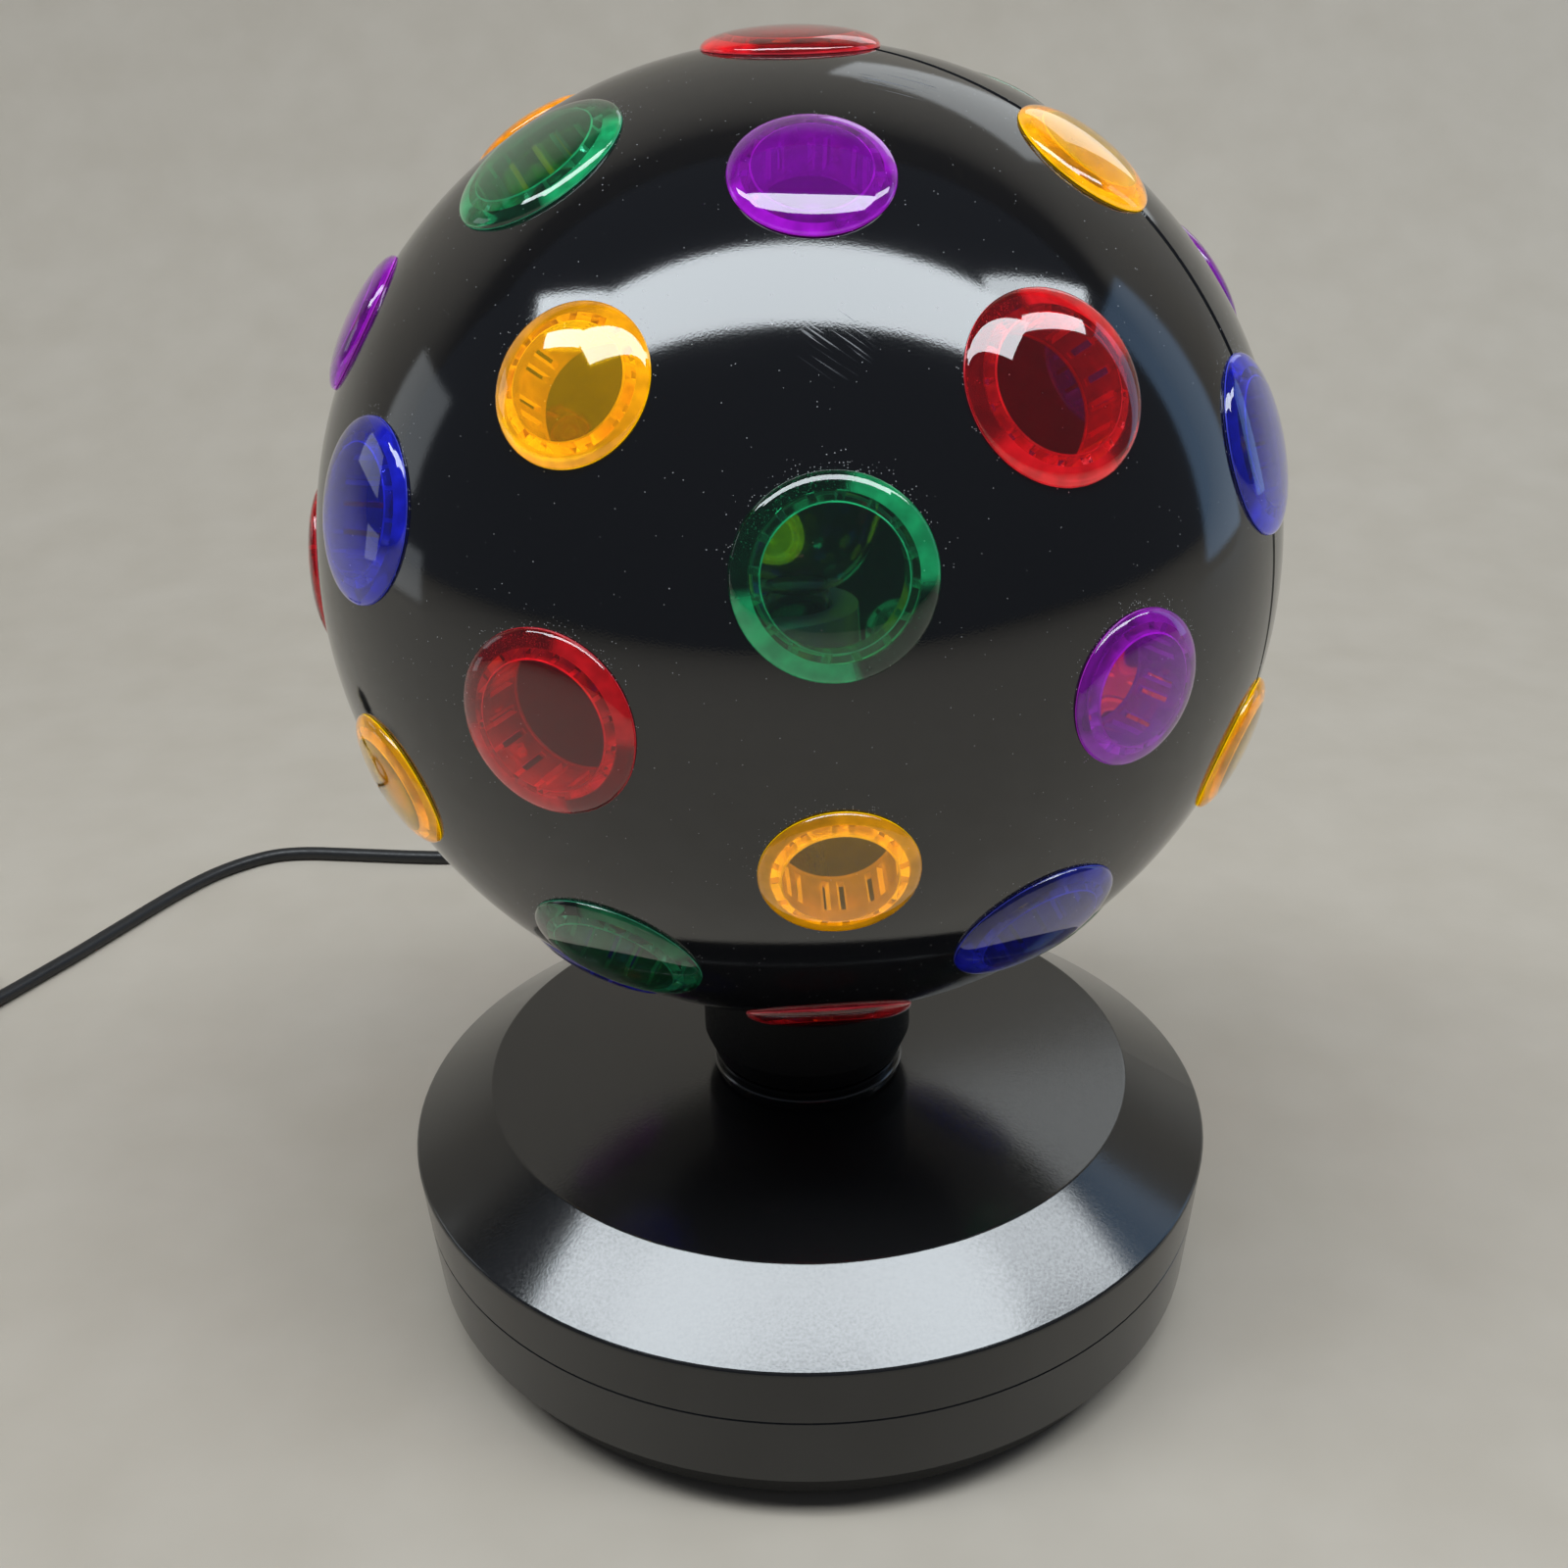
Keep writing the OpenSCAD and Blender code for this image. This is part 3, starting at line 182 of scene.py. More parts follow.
# Cord
CORD_D = 4.5 * MM
RELIEF_TIP = (0, 123.62 * MM, 17.782 * MM)
RUN_POINTS_MM = [
    (0, 133, 17), (-0.5, 145, 15.5), (-2, 157, 12.5), (-5, 168.5, 8.5), (-10, 179, 5),
    (-17.5, 188, 2.9), (-27, 195.5, 2.3), (-38.5, 201, 2.3), (-51, 204.5, 2.3), (-64, 206.5, 2.3),
    (-77, 207.5, 2.3), (-90, 208, 2.3), (-103, 208, 2.3), (-116, 207.5, 2.3), (-129, 207, 2.3),
    (-142, 208, 2.3), (-155, 209.5, 2.3), (-168, 211, 2.3), (-180, 212, 2.3), (-191, 210.5, 2.3),
    (-200.5, 205, 2.3), (-208.5, 197.5, 2.3), (-215.5, 188, 2.3), (-222, 177, 2.3),
    (-228, 165.5, 2.3), (-234, 154, 2.3), (-240, 142.5, 2.3), (-246.5, 131, 2.3),
    (-253, 119.5, 2.4), (-259.5, 108, 2.9),
]
TAIL_POINTS_MM = [
    (0, 10, -0.8), (0, 20, -3), (0, 30, -6.2), (0, 40, -9.2), (0, 48, -10.6), (0, 52.5, -10.6),
]
COIL_CENTRE = (-295 * MM, 108.5 * MM)
COIL_START = -30
COIL_IN_R = 20.5 * MM
COIL_TURNS = 8.4167
COIL_LAYERS = 4
COIL_PITCH = 5 * MM
COIL_Z = 3.5 * MM
COIL_STEPS = 24
# turns before and after a change of layer in which the cord climbs
COIL_CLIMB = 0.25

# Camera, fitted to the photograph's outlines
CAMERA_AT = Vector((0, -0.37688, 0.31074))
CAMERA_RIGHT = Vector((0.99979, 0.00165, -0.02031))
CAMERA_UP = Vector((0.01758, 0.43459, 0.90046))
CAMERA_LENS = 42.3
SENSOR = 36
CLIP_START = 0.01

# Stage, in metres
STAGE_HALF = 3.0
STAGE_FRONT = -2.2
STAGE_BACK = 0.9
STAGE_BEND = 0.5
STAGE_TOP = 2.6
STAGE_DARK = (0.44, 0.39, 0.325)
STAGE_LIGHT = (0.47, 0.42, 0.355)
STAGE_ROUGH = 0.75

# Light, where a lamp's glow is how bright it shows in a mirror
WORLD_COLOUR = (0.08, 0.09, 0.107)
COOL = (0.88, 0.95, 1.0)
BLUE = (0.36, 0.62, 1.0)
PANEL_Z = 1.9
# name, x, y, size, glow, swing in degrees
PANELS = (
    ("panel_above", 0.02, -0.51, (2.7, 0.62), 8.6, 0),
    ("panel_left", -1.55, -0.12, (0.72, 0.36), 8.6, -35),
    ("panel_right", 1.74, 0.09, (1.2, 0.34), 7.0, 35),
)
# name, place, aim, size, glow, colour
WINDOWS = (
    ("window_right", (1.2, 0.37, 0.53), (0, 0.37, 0.53), (0.36, 0.98), 0.75, BLUE),
    ("window_left", (-1.2, 0.32, 0.51), (0, 0.32, 0.51), (0.42, 0.36), 0.7, COOL),
    ("window_low", (-1.2, 0.1, 0.1), (0, 0.1, 0.1), (0.24, 0.16), 0.6, COOL),
    ("window_back", (0.36, 0.84, 0.68), (0, 0, 0.05), (0.5, 0.5), 0.9, COOL),
)


# Shapes

def mesh_object(name, verts, faces):
    """A new object from plain vertices and faces, with its normals pointing out."""
    mesh = bpy.data.meshes.new(name)
    mesh.from_pydata(verts, [], faces)
    bm = bmesh.new()
    bm.from_mesh(mesh)
    bmesh.ops.recalc_face_normals(bm, faces=bm.faces)
    bm.to_mesh(mesh)
    bm.free()
    obj = bpy.data.objects.new(name, mesh)
    bpy.context.scene.collection.objects.link(obj)
    return obj


def smooth(obj, angle=35):
    """Smooth shading, with edges sharper than the angle left crisp."""
    obj.data.shade_smooth()
    obj.data.set_sharp_from_angle(angle=math.radians(angle))


def lathe(profile, steps):
    """Vertices and faces of (r, z) points turned about Z."""
    verts, faces, rings = [], [], []
    for r, z in profile:
        if r < ON_AXIS:
            rings.append([len(verts)] * steps)
            verts.append((0, 0, z))
            continue
        rings.append(list(range(len(verts), len(verts) + steps)))
        for k in range(steps):
            a = 2 * math.pi * k / steps
            verts.append((r * math.cos(a), r * math.sin(a), z))
    for low, high in zip(rings, rings[1:]):
        for k in range(steps):
            m = (k + 1) % steps
            quad = [low[k], low[m], high[m], high[k]]
            face = list(dict.fromkeys(quad))
            if len(face) > 2:
                faces.append(face)
    return verts, faces


def arc(centre_z, r, start, end, steps):
    """Points (r, z) along an arc about (0, centre_z), by angles from the axis in degrees."""
    turns = [math.radians(start + (end - start) * i / steps) for i in range(steps + 1)]
    return [(r * math.sin(a), centre_z + r * math.cos(a)) for a in turns]


def cut(obj, cutter, operation="DIFFERENCE"):
    """Takes the cutter out of the object's mesh, or joins it on, and deletes the cutter."""
    hole = obj.modifiers.new("cut", "BOOLEAN")
    hole.operation = operation
    hole.solver = "EXACT"
    hole.object = cutter
    bpy.context.view_layer.update()
    graph = bpy.context.evaluated_depsgraph_get()
    mesh = bpy.data.meshes.new_from_object(obj.evaluated_get(graph))
    obj.modifiers.clear()
    old = obj.data
    obj.data = mesh
    bpy.data.meshes.remove(old)
    bpy.data.objects.remove(cutter)


def joined(parts):
    """Vertices and faces of several (verts, faces, matrix) pieces in one list."""
    verts, faces = [], []
    for part_verts, part_faces, matrix in parts:
        first = len(verts)
        verts += [matrix @ Vector(v) for v in part_verts]
        faces += [[first + i for i in f] for f in part_faces]
    return verts, faces


def turn(axis, degrees):
    """Rotation about an axis through the origin."""
    return Matrix.Rotation(math.radians(degrees), 4, axis)


def in_shell(half):
    """Frame of a shell: +Z out of its middle and +Y up."""
    return Matrix.Translation(BALL_CENTRE) @ turn("Z", SEAM_TURN + half) @ turn("X", 90)


def at_site(tilt, around):
    """Points +Z at one lens's site in a shell's frame."""
    return turn("Z", -around) @ turn("X", -tilt)


# Materials

def new_material(name):
    """A new material, its node tree and its main shader."""
    mat = bpy.data.materials.new(name)
    mat.use_nodes = True
    return mat, mat.node_tree, mat.node_tree.nodes["Principled BSDF"]


def add(tree, kind, inputs=None, **settings):
    """A new shader node. An input is a value, or another node's output to link from."""
    made = tree.nodes.new(kind)
    for key, value in settings.items():
        setattr(made, key, value)
    for key, value in (inputs or {}).items():
        if isinstance(value, bpy.types.NodeSocket):
            tree.links.new(value, made.inputs[key])
        else:
            made.inputs[key].default_value = value
    return made


def object_coords(tree):
    """Coordinates in metres in the object's own frame."""
    return add(tree, "ShaderNodeTexCoord").outputs["Object"]


def noise(tree, coords, scale, detail=2):
    """Noise of so many waves to the metre, as a value about 0.5."""
    made = add(tree, "ShaderNodeTexNoise", {"Vector": coords, "Scale": scale, "Detail": detail})
    return made.outputs["Fac"]


def between(tree, value, low, high, to_low=0.0, to_high=1.0):
    """Value mapped from low..high to to_low..to_high, and held there."""
    made = add(tree, "ShaderNodeMapRange", {"Value": value, "From Min": low, "From Max": high,
                                            "To Min": to_low, "To Max": to_high})
    return made.outputs["Result"]


def times(tree, a, b):
    """Product of two values."""
    made = add(tree, "ShaderNodeMath", {0: a, 1: b}, operation="MULTIPLY")
    return made.outputs["Value"]


def either(tree, a, b):
    """The larger of two values."""
    made = add(tree, "ShaderNodeMath", {0: a, 1: b}, operation="MAXIMUM")
    return made.outputs["Value"]


def mixed(tree, share, a, b):
    """Colour between a and b by share."""
    made = add(tree, "ShaderNodeMix", data_type="RGBA")
    for key, value in (("Factor", share), ("A", a), ("B", b)):
        socket = next(s for s in made.inputs if s.name == key and s.enabled)
        if isinstance(value, bpy.types.NodeSocket):
            tree.links.new(value, socket)
        else:
            socket.default_value = value if key == "Factor" else (*value, 1)
    return next(s for s in made.outputs if s.enabled)


def bump(tree, shader, height, depth):
    """Relief of the given depth in metres on the shader's normal."""
    made = add(tree, "ShaderNodeBump", {"Height": height, "Distance": depth, "Strength": 1.0})
    tree.links.new(made.outputs["Normal"], shader.inputs["Normal"])


def link(tree, output, shader, socket):
    """Joins a node's output to one of the shader's sockets."""
    tree.links.new(output, shader.inputs[socket])


def specks(tree, coords, scale, size, share):
    """Mask of dust specks: dots of the given size, in so many cells to the metre, kept by share."""
    cells = add(tree, "ShaderNodeTexVoronoi", {"Vector": coords, "Scale": scale, "Randomness": 1.0})
    dot = between(tree, cells.outputs["Distance"], size * 0.6, size, 1, 0)
    draw = add(tree, "ShaderNodeSeparateColor", {"Color": cells.outputs["Color"]})
    kept = add(tree, "ShaderNodeMath", {0: draw.outputs["Red"], 1: share}, operation="LESS_THAN")
    return times(tree, dot, kept.outputs["Value"])


def plain(name, colour, rough, mottle, mottle_scale, grain_scale, grain_depth, metal=0.0, rough_spread=0.12):
    """A solid material whose colour, gloss and surface all vary a little, at real scale.

    Mottle is the share by which its colour varies. Both scales are waves to the metre, and the grain's
    depth is in millimetres.
    """
    mat, tree, shader = new_material(name)
    coords = object_coords(tree)
    patch = noise(tree, coords, mottle_scale, 3)
    grain = noise(tree, coords, grain_scale, 2)
    dark = tuple(c * (1 - mottle) for c in colour)
    light = tuple(min(1, c * (1 + mottle)) for c in colour)
    link(tree, mixed(tree, between(tree, patch, 0.3, 0.7), dark, light), shader, "Base Color")
    spread = between(tree, grain, 0.3, 0.7, max(0.02, rough - rough_spread), rough + rough_spread)
    link(tree, spread, shader, "Roughness")
    shader.inputs["Metallic"].default_value = metal
    bump(tree, shader, grain, grain_depth * MM)
    return mat


def shine(mat, level):
    """Sets how strongly a material reflects, where 0.5 is usual for plastic."""
    mat.node_tree.nodes["Principled BSDF"].inputs["Specular IOR Level"].default_value = level


def paint_shade_by_height(mat, levels):
    """Paints shade into a material's reflection by height.

    Each level is a start, an end and the share that is left before the start.
    """
    tree = mat.node_tree
    height = add(tree, "ShaderNodeSeparateXYZ", {0: object_coords(tree)}).outputs["Z"]
    gloss = None
    for start, end, share in levels:
        step = between(tree, height, start, end, share, 1)
        gloss = step if gloss is None else times(tree, gloss, step)
    tint = mixed(tree, gloss, (0, 0, 0), (1, 1, 1))
    link(tree, tint, tree.nodes["Principled BSDF"], "Specular Tint")


def scuff(tree, coords, middle, along, out, reach, lines):
    """Mask of scratches along one direction, in a patch of the given reach about its middle."""
    across = Vector(along).cross(Vector(out)).normalized()
    moved = add(tree, "ShaderNodeVectorMath", {0: coords, 1: middle}, operation="SUBTRACT")
    spread = add(tree, "ShaderNodeVectorMath", {0: moved.outputs[0], 1: across}, operation="DOT_PRODUCT")
    run = add(tree, "ShaderNodeVectorMath", {0: moved.outputs[0], 1: along}, operation="DOT_PRODUCT")
    lane = add(tree, "ShaderNodeCombineXYZ", {"X": times(tree, spread.outputs["Value"], lines),
                                              "Y": times(tree, run.outputs["Value"], lines / SCUFF_STRETCH)})
    groove = noise(tree, lane.outputs[0], 1, 1)
    far = add(tree, "ShaderNodeVectorMath", {0: moved.outputs[0]}, operation="LENGTH")
    fade = between(tree, far.outputs["Value"], reach * 0.6, reach, 1, 0)
    return times(tree, between(tree, groove, 0.59, 0.66), fade)


def ball_material():
    """Glossy black moulding with settled dust, thickest over the lenses, and a few scuffs."""
    mat, tree, shader = new_material("ball_gloss")
    coords = object_coords(tree)
    near = add(tree, "ShaderNodeAttribute", attribute_name="dust").outputs["Fac"]
    patch = between(tree, noise(tree, coords, scale=40, detail=3), 0.45, 0.7)
    halo = specks(tree, coords, scale=3000, size=0.32, share=near)
    loose = specks(tree, coords, scale=520, size=0.065, share=times(tree, patch, 0.55))
    dust = either(tree, halo, loose)
    front = scuff(tree, coords, *FRONT_SCUFF)
    top = scuff(tree, coords, *TOP_SCUFF)
    worn = either(tree, times(tree, front, FRONT_WEAR), top)
    dusty = mixed(tree, dust, BALL_BLACK, DUST_GREY)
    link(tree, mixed(tree, worn, dusty, WORN_GREY), shader, "Base Color")
    haze = between(tree, noise(tree, coords, scale=25, detail=4), 0.3, 0.7, to_low=0.05, to_high=0.085)
    marks = either(tree, times(tree, dust, 0.7), times(tree, worn, 0.8))
    link(tree, either(tree, haze, marks), shader, "Roughness")
    shader.inputs["IOR"].default_value = BALL_IOR
    shine(mat, BALL_SHINE)
    bump(tree, shader, noise(tree, coords, scale=2600), 0.006 * MM)
    return mat


def lens_material(colour, part):
    """Clear dyed plastic of a lens's polished dome, of its bore's roof, or of the rest of its moulding.

    The moulding has painted light where its corners are marked: less clear plastic and a painted glow.
    """
    mat, tree, shader = new_material(f"lens_{colour}_{part}")
    tint = LENS_TINT[colour]
    coords = object_coords(tree)
    streak = between(tree, noise(tree, coords, scale=260), 0.35, 0.65)
    if part == "dome":
        dust = specks(tree, coords, scale=900, size=0.12, share=0.08)
        link(tree, mixed(tree, times(tree, dust, 0.3), tint, (0.8, 0.8, 0.8)), shader, "Base Color")
        polish = between(tree, streak, 0, 1, to_low=0.015, to_high=0.035)
        link(tree, either(tree, polish, times(tree, dust, 0.4)), shader, "Roughness")
        shader.inputs["Transmission Weight"].default_value = 1.0
        shader.inputs["Coat Weight"].default_value = DOME_COAT
        shader.inputs["Coat Roughness"].default_value = DOME_COAT_ROUGH
    elif part == "roof":
        tint = ROOF_TINT[colour]
        link(tree, mixed(tree, streak, tuple(c * ROOF_STREAK for c in tint), tint), shader, "Base Color")
        link(tree, between(tree, streak, 0, 1, to_low=0.02, to_high=0.05), shader, "Roughness")
        shader.inputs["Transmission Weight"].default_value = 1 - ROOF_HAZE[colour]
    else:
        # painted light: marked corners of the moulding are made less clear and given a painted glow
        painted_light = add(tree, "ShaderNodeAttribute", attribute_name="painted_light").outputs["Fac"]
        link(tree, mixed(tree, streak, tuple(c * MOULD_STREAK for c in tint), tint), shader, "Base Color")
        link(tree, between(tree, streak, 0, 1, to_low=0.03, to_high=0.12), shader, "Roughness")
        passed = between(tree, painted_light, 0, 1, to_low=DARK_PASS, to_high=LIT_PASS)
        link(tree, passed, shader, "Transmission Weight")
        # painted glow: the moulding gives off its tint as light, though a lens is no lamp
        shader.inputs["Emission Color"].default_value = (*tint, 1)
        link(tree, times(tree, painted_light, PAINTED_GLOW[colour]), shader, "Emission Strength")
    shader.inputs["IOR"].default_value = LENS_IOR
    # lamplight passes through the tinted plastic into the ball
    path = add(tree, "ShaderNodeLightPath")
    clear = add(tree, "ShaderNodeBsdfTransparent", {"Color": (*(math.sqrt(c) for c in tint), 1)})
    both = add(tree, "ShaderNodeMixShader", {0: path.outputs["Is Shadow Ray"], 1: shader.outputs[0],
                                             2: clear.outputs[0]})
    tree.links.new(both.outputs[0], tree.nodes["Material Output"].inputs["Surface"])
    return mat


def glass_material():
    """Clear glass of the bulb, with a thin uneven film."""
    mat, tree, shader = new_material("bulb_glass_clear")
    coords = object_coords(tree)
    film = between(tree, noise(tree, coords, scale=120, detail=3), 0.3, 0.7)
    link(tree, mixed(tree, film, (0.93, 0.93, 0.90), (0.99, 0.99, 0.97)), shader, "Base Color")
    link(tree, between(tree, film, 0, 1, to_low=0.01, to_high=0.04), shader, "Roughness")
    shader.inputs["IOR"].default_value = GLASS_IOR
    shader.inputs["Transmission Weight"].default_value = 1.0
    return mat


def dress_cad(node, mat):
    """Gives a carried CAD node its material."""
    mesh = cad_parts[node].data
    mesh.materials.clear()
    mesh.materials.append(mat)


def dress(obj, body, slot, replaced, *mats):
    """Puts a new piece on its body in place of CAD nodes, with its materials."""
    obj.data.materials.clear()
    for mat in mats:
        obj.data.materials.append(mat)
    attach(obj, body)
    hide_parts(*replaced)


# Ball

def lens_sites():
    """Every lens as (colour, matrix of its site), both halves and the seam."""
    found = []
    for half in (0, 180):
        frame_of = in_shell(half) @ turn("Y", PATTERN_TURN[half]) @ turn("X", PATTERN_DROP)
        found.append(("red", frame_of))
        for i, colour in enumerate(RING1_COLOURS):
            found.append((colour, frame_of @ at_site(RING1_TILT, i * 360 / len(RING1_COLOURS))))
        for i, colour in enumerate(RING2_COLOURS):
            around = (i + 0.5) * 360 / len(RING2_COLOURS)
            found.append((colour, frame_of @ at_site(RING2_TILT, around)))
    for i, colour in enumerate(SEAM_COLOURS):
        if colour:
            found.append((colour, in_shell(0) @ at_site(90, i * 360 / len(SEAM_COLOURS))))
    return found


SITES = lens_sites()


def hole_cutter():
    """Plugs of every lens hole and of the hub's hole, as one cutter."""
    low = BALL_R - PLUG_BELOW
    high = BALL_R + PLUG_ABOVE
    holes = [(SKIRT_R[LENS_SIZE[colour]], site) for colour, site in SITES]
    holes.append((HUB_NECK_R, in_shell(0) @ at_site(90, 180)))
    parts = []
    for neck, site in holes:
        r = neck + HOLE_GAP
        parts.append((*lathe([(0, low), (r, low), (r, high), (0, high)], HOLE_STEPS), site))
    return mesh_object("holes", *joined(parts))


def round_normals(obj):
    """Exact sphere normals on the outer and inner faces, so that reflections run clean."""
    mesh = obj.data
    normals = []
    smooth(obj)
    for face in mesh.polygons:
        out = (face.center - BALL_CENTRE).normalized()
        facing = face.normal.dot(out)
        for i in face.vertices:
            if abs(facing) > ROUND_FACE:
                out = (mesh.vertices[i].co - BALL_CENTRE).normalized()
                normals.append(out if facing > 0 else -out)
            else:
                normals.append(face.normal)
    mesh.normals_split_custom_set(normals)


def settle_dust(obj):
    """Share of dust on each vertex: thickest just outside a lens's rim, on its upper side."""
    axes = [(site.to_3x3() @ Vector((0, 0, 1)), LENS_R[LENS_SIZE[colour]]) for colour, site in SITES]
    layer = obj.data.attributes.new("dust", "FLOAT", "POINT")
    for i, vert in enumerate(obj.data.vertices):
        out = (vert.co - BALL_CENTRE).normalized()
        near = 0
        for axis, r in axes:
            gap = BALL_R * math.acos(max(-1, min(1, out.dot(axis)))) - r
            side = (out - axis).normalized().z
            lodged = DUST_RIM + DUST_UPPER * max(0, side)
            near = max(near, lodged * math.exp(-max(0, gap) / DUST_REACH))
        layer.data[i].value = near + DUST_ELSEWHERE


def build_shell(name, half, node, outside, inside):
    """One half of the ball, with its groove at the seam and its holes."""
    inner = BALL_R - SHELL_WALL
    edge = math.degrees(math.acos((SEAM_GROOVE + SEAM_EDGE) / BALL_R))
    profile = arc(0, BALL_R, 0, edge, OUTER_STEPS)
    profile += [(BALL_R - SEAM_GROOVE, 0), (inner, 0)]
    profile += arc(0, inner, 90, 0, INNER_STEPS)[1:]
    verts, faces = lathe(profile, SHELL_STEPS)
    verts, faces = joined([(verts, faces, in_shell(half))])
    shell = mesh_object(name, verts, faces)
    cut(shell, hole_cutter())
    round_normals(shell)
    settle_dust(shell)
    dress(shell, "ball", "ball_black", [node], outside, inside)
    for face in shell.data.polygons:
        depth = BALL_R - (face.center - BALL_CENTRE).length
        face.material_index = int(depth > SHELL_WALL / 2)


def ball_h(r):
    """Height of the ball's surface along a lens's axis, at a distance from that axis."""
    return math.sqrt(BALL_R * BALL_R - r * r)


BOX_FACES = [(0, 1, 2, 3), (4, 5, 6, 7), (0, 1, 5, 4), (1, 2, 6, 5), (2, 3, 7, 6), (3, 0, 4, 7)]


def block(x, y, z):
    """Vertices and faces of a box between pairs of x, y and z."""
    verts = [(a, b, c) for c in z for a, b in ((x[0], y[0]), (x[1], y[0]), (x[1], y[1]), (x[0], y[1]))]
    return verts, BOX_FACES


def wedge(r, top, width):
    """Vertices and faces of a snap barb on a tongue that faces +X."""
    outline = [(r - LENS_WALL / 2, top), (r + BARB_W, top), (r - BARB_FOOT, top - BARB_RAMP),
               (r - LENS_WALL / 2, top - BARB_RAMP)]
    verts = [(x, y, z) for y in (-width / 2, width / 2) for x, z in outline]
    return verts, BOX_FACES


def lens_mesh(size):
    """One lens cap along +Z: its vertices, its faces, and the part that each face is of."""
    r, skirt = LENS_R[size], SKIRT_R[size]
    bore = skirt - LENS_WALL
    seat = ball_h(skirt + HOLE_GAP) + SEAT_GAP
    rim = ball_h(r) + SEAT_GAP
    crown = seat + LENS_CROWN
    brow = rim + LENS_EDGE
    dome = crown - brow
    roof_sag = dome * (1 - math.sqrt(1 - (bore / r) ** 2))
    roof_r = (bore**2 + roof_sag**2) / (2 * roof_sag)
    roof_turn = math.degrees(math.asin((bore - LENS_BEVEL) / roof_r))
    roof = crown - LENS_WALL - roof_sag
    foot = seat - SKIRT_DEPTH
    in_r = BALL_R - SHELL_WALL
    barb = math.sqrt(in_r**2 - (skirt + HOLE_GAP + BARB_W) ** 2) - 2 * HOLE_GAP
    profile = [(r * x, brow + dome * y) for x, y in arc(0, 1, 0, 90, DOME_STEPS)]
    midway = (r + skirt) / 2
    profile += [(r, rim + RIM_ROUND), (r - RIM_ROUND, rim + RIM_LIFT), (midway, ball_h(midway) + SEAT_GAP)]
    profile += [(skirt, seat), (skirt, foot + LENS_BEVEL), (skirt - LENS_BEVEL, foot)]
    profile += [(bore + LENS_BEVEL, foot), (bore, foot + LENS_BEVEL), (bore, roof - LENS_BEVEL)]
    profile += arc(crown - LENS_WALL - roof_r, roof_r, roof_turn, 0, ROOF_STEPS)
    lens = mesh_object("lens_blank", *lathe(profile, LENS_STEPS))
    slots, barbs = [], []
    offset = (TONGUE_W + SLOT_W) / 2
    for a in range(0, 360, TONGUE_STEP):
        for side in (-offset, offset):
            box = block((bore - SLOT_REACH, skirt + SLOT_REACH), (side - SLOT_W / 2, side + SLOT_W / 2),
                        (foot + SKIRT_RING, seat - SKIRT_RING))
            slots.append((*box, turn("Z", a)))
        barbs.append((*wedge(skirt, barb, TONGUE_W - BARB_SIDE_GAP), turn("Z", a)))
    cut(lens, mesh_object("slots", *joined(slots)))
    cut(lens, mesh_object("barbs", *joined(barbs)), "UNION")
    mesh = lens.data
    verts = [v.co.copy() for v in mesh.vertices]
    faces = [list(f.vertices) for f in mesh.polygons]
    kinds = []
    for face in mesh.polygons:
        spot = face.center
        out = math.hypot(spot.x, spot.y)
        slope = abs(face.normal.z)
        outward = abs(face.normal.x * spot.x + face.normal.y * spot.y) / max(out, MM)
        in_slots = foot + SKIRT_RING - SLOT_MARGIN < spot.z < seat - SKIRT_RING + SLOT_MARGIN
        if spot.z > brow and (out / r) ** 2 + ((spot.z - brow) / dome) ** 2 > DOME_SHARE:
            kinds.append("dome")
        elif spot.z > roof and out < bore:
            kinds.append("roof")
        elif BEVEL_LOW < slope < BEVEL_HIGH or (out > midway and slope < UPRIGHT):
            kinds.append("edge")
        elif in_slots and outward < UPRIGHT and slope < UPRIGHT and out < skirt:
            kinds.append("slot")
        elif spot.z > seat - FLANGE_DEPTH:
            kinds.append("flange")
        else:
            kinds.append("skirt")
    bpy.data.objects.remove(lens)
    return verts, faces, kinds


def painted_light_corners(site, nth, dim, verts, faces, kinds):
    """How much painted light each corner of a lens gets: most at edges and in two sectors."""
    # the sectors of painted light sit by the lens's lowest point, where light from above would gather
    down = site.to_3x3().inverted() @ Vector((0, 0, -1))
    lowest = math.degrees(math.atan2(down.y, down.x)) + LOW_TURN + LOW_SWAY * math.sin(LOW_PACE * nth)
    kind_painted_light = {"edge": EDGE_LIT, "slot": SLOT_LIT, "skirt": SKIRT_LIT + SKIRT_DIM_LIT * dim}
    found = []
    for face, kind in zip(faces, kinds):
        for i in face:
            painted_light = kind_painted_light.get(kind, 0)
            if kind == "flange":
                a = math.degrees(math.atan2(verts[i].y, verts[i].x))
                off = abs((a - lowest + 180) % 360 - 180)
                opposite = abs((a - lowest + OPPOSITE_TURN) % 360 - 180)
                low_share = min(1, (LOW_HALF - off) / SECTOR_FADE)
                opposite_share = min(1, (OPPOSITE_HALF - opposite) / SECTOR_FADE)
                share = max(0, low_share, opposite_share)
                painted_light = dim + (1 - dim) * share
            found.append(painted_light)
    return found


def build_lenses():
    """All lens caps, as one piece for each colour."""
    blanks = {size: lens_mesh(size) for size in LENS_R}
    for colour, size in LENS_SIZE.items():
        blank_verts, blank_faces, kinds = blanks[size]
        sites = [site for tone, site in SITES if tone == colour]
        verts, faces = joined([(blank_verts, blank_faces, site) for site in sites])
        caps = mesh_object(f"{colour}_lens_caps", verts, faces)
        smooth(caps, LENS_CREASE)
        # painted light of every corner, read by the moulding's material
        layer = caps.data.attributes.new("painted_light", "FLOAT", "CORNER")
        painted_light = []
        for nth, site in enumerate(sites):
            painted_light += painted_light_corners(site, nth, DIM_SECTOR[colour], blank_verts, blank_faces, kinds)
        layer.data.foreach_set("value", painted_light)
        mats = [lens_material(colour, part) for part in ("moulding", "dome", "roof")]
        dress(caps, "ball", f"lens_{colour}", [f"{colour}_lenses"], *mats)
        for face, kind in zip(caps.data.polygons, kinds * len(sites)):
            face.material_index = {"dome": 1, "roof": 2}.get(kind, 0)


# Cord

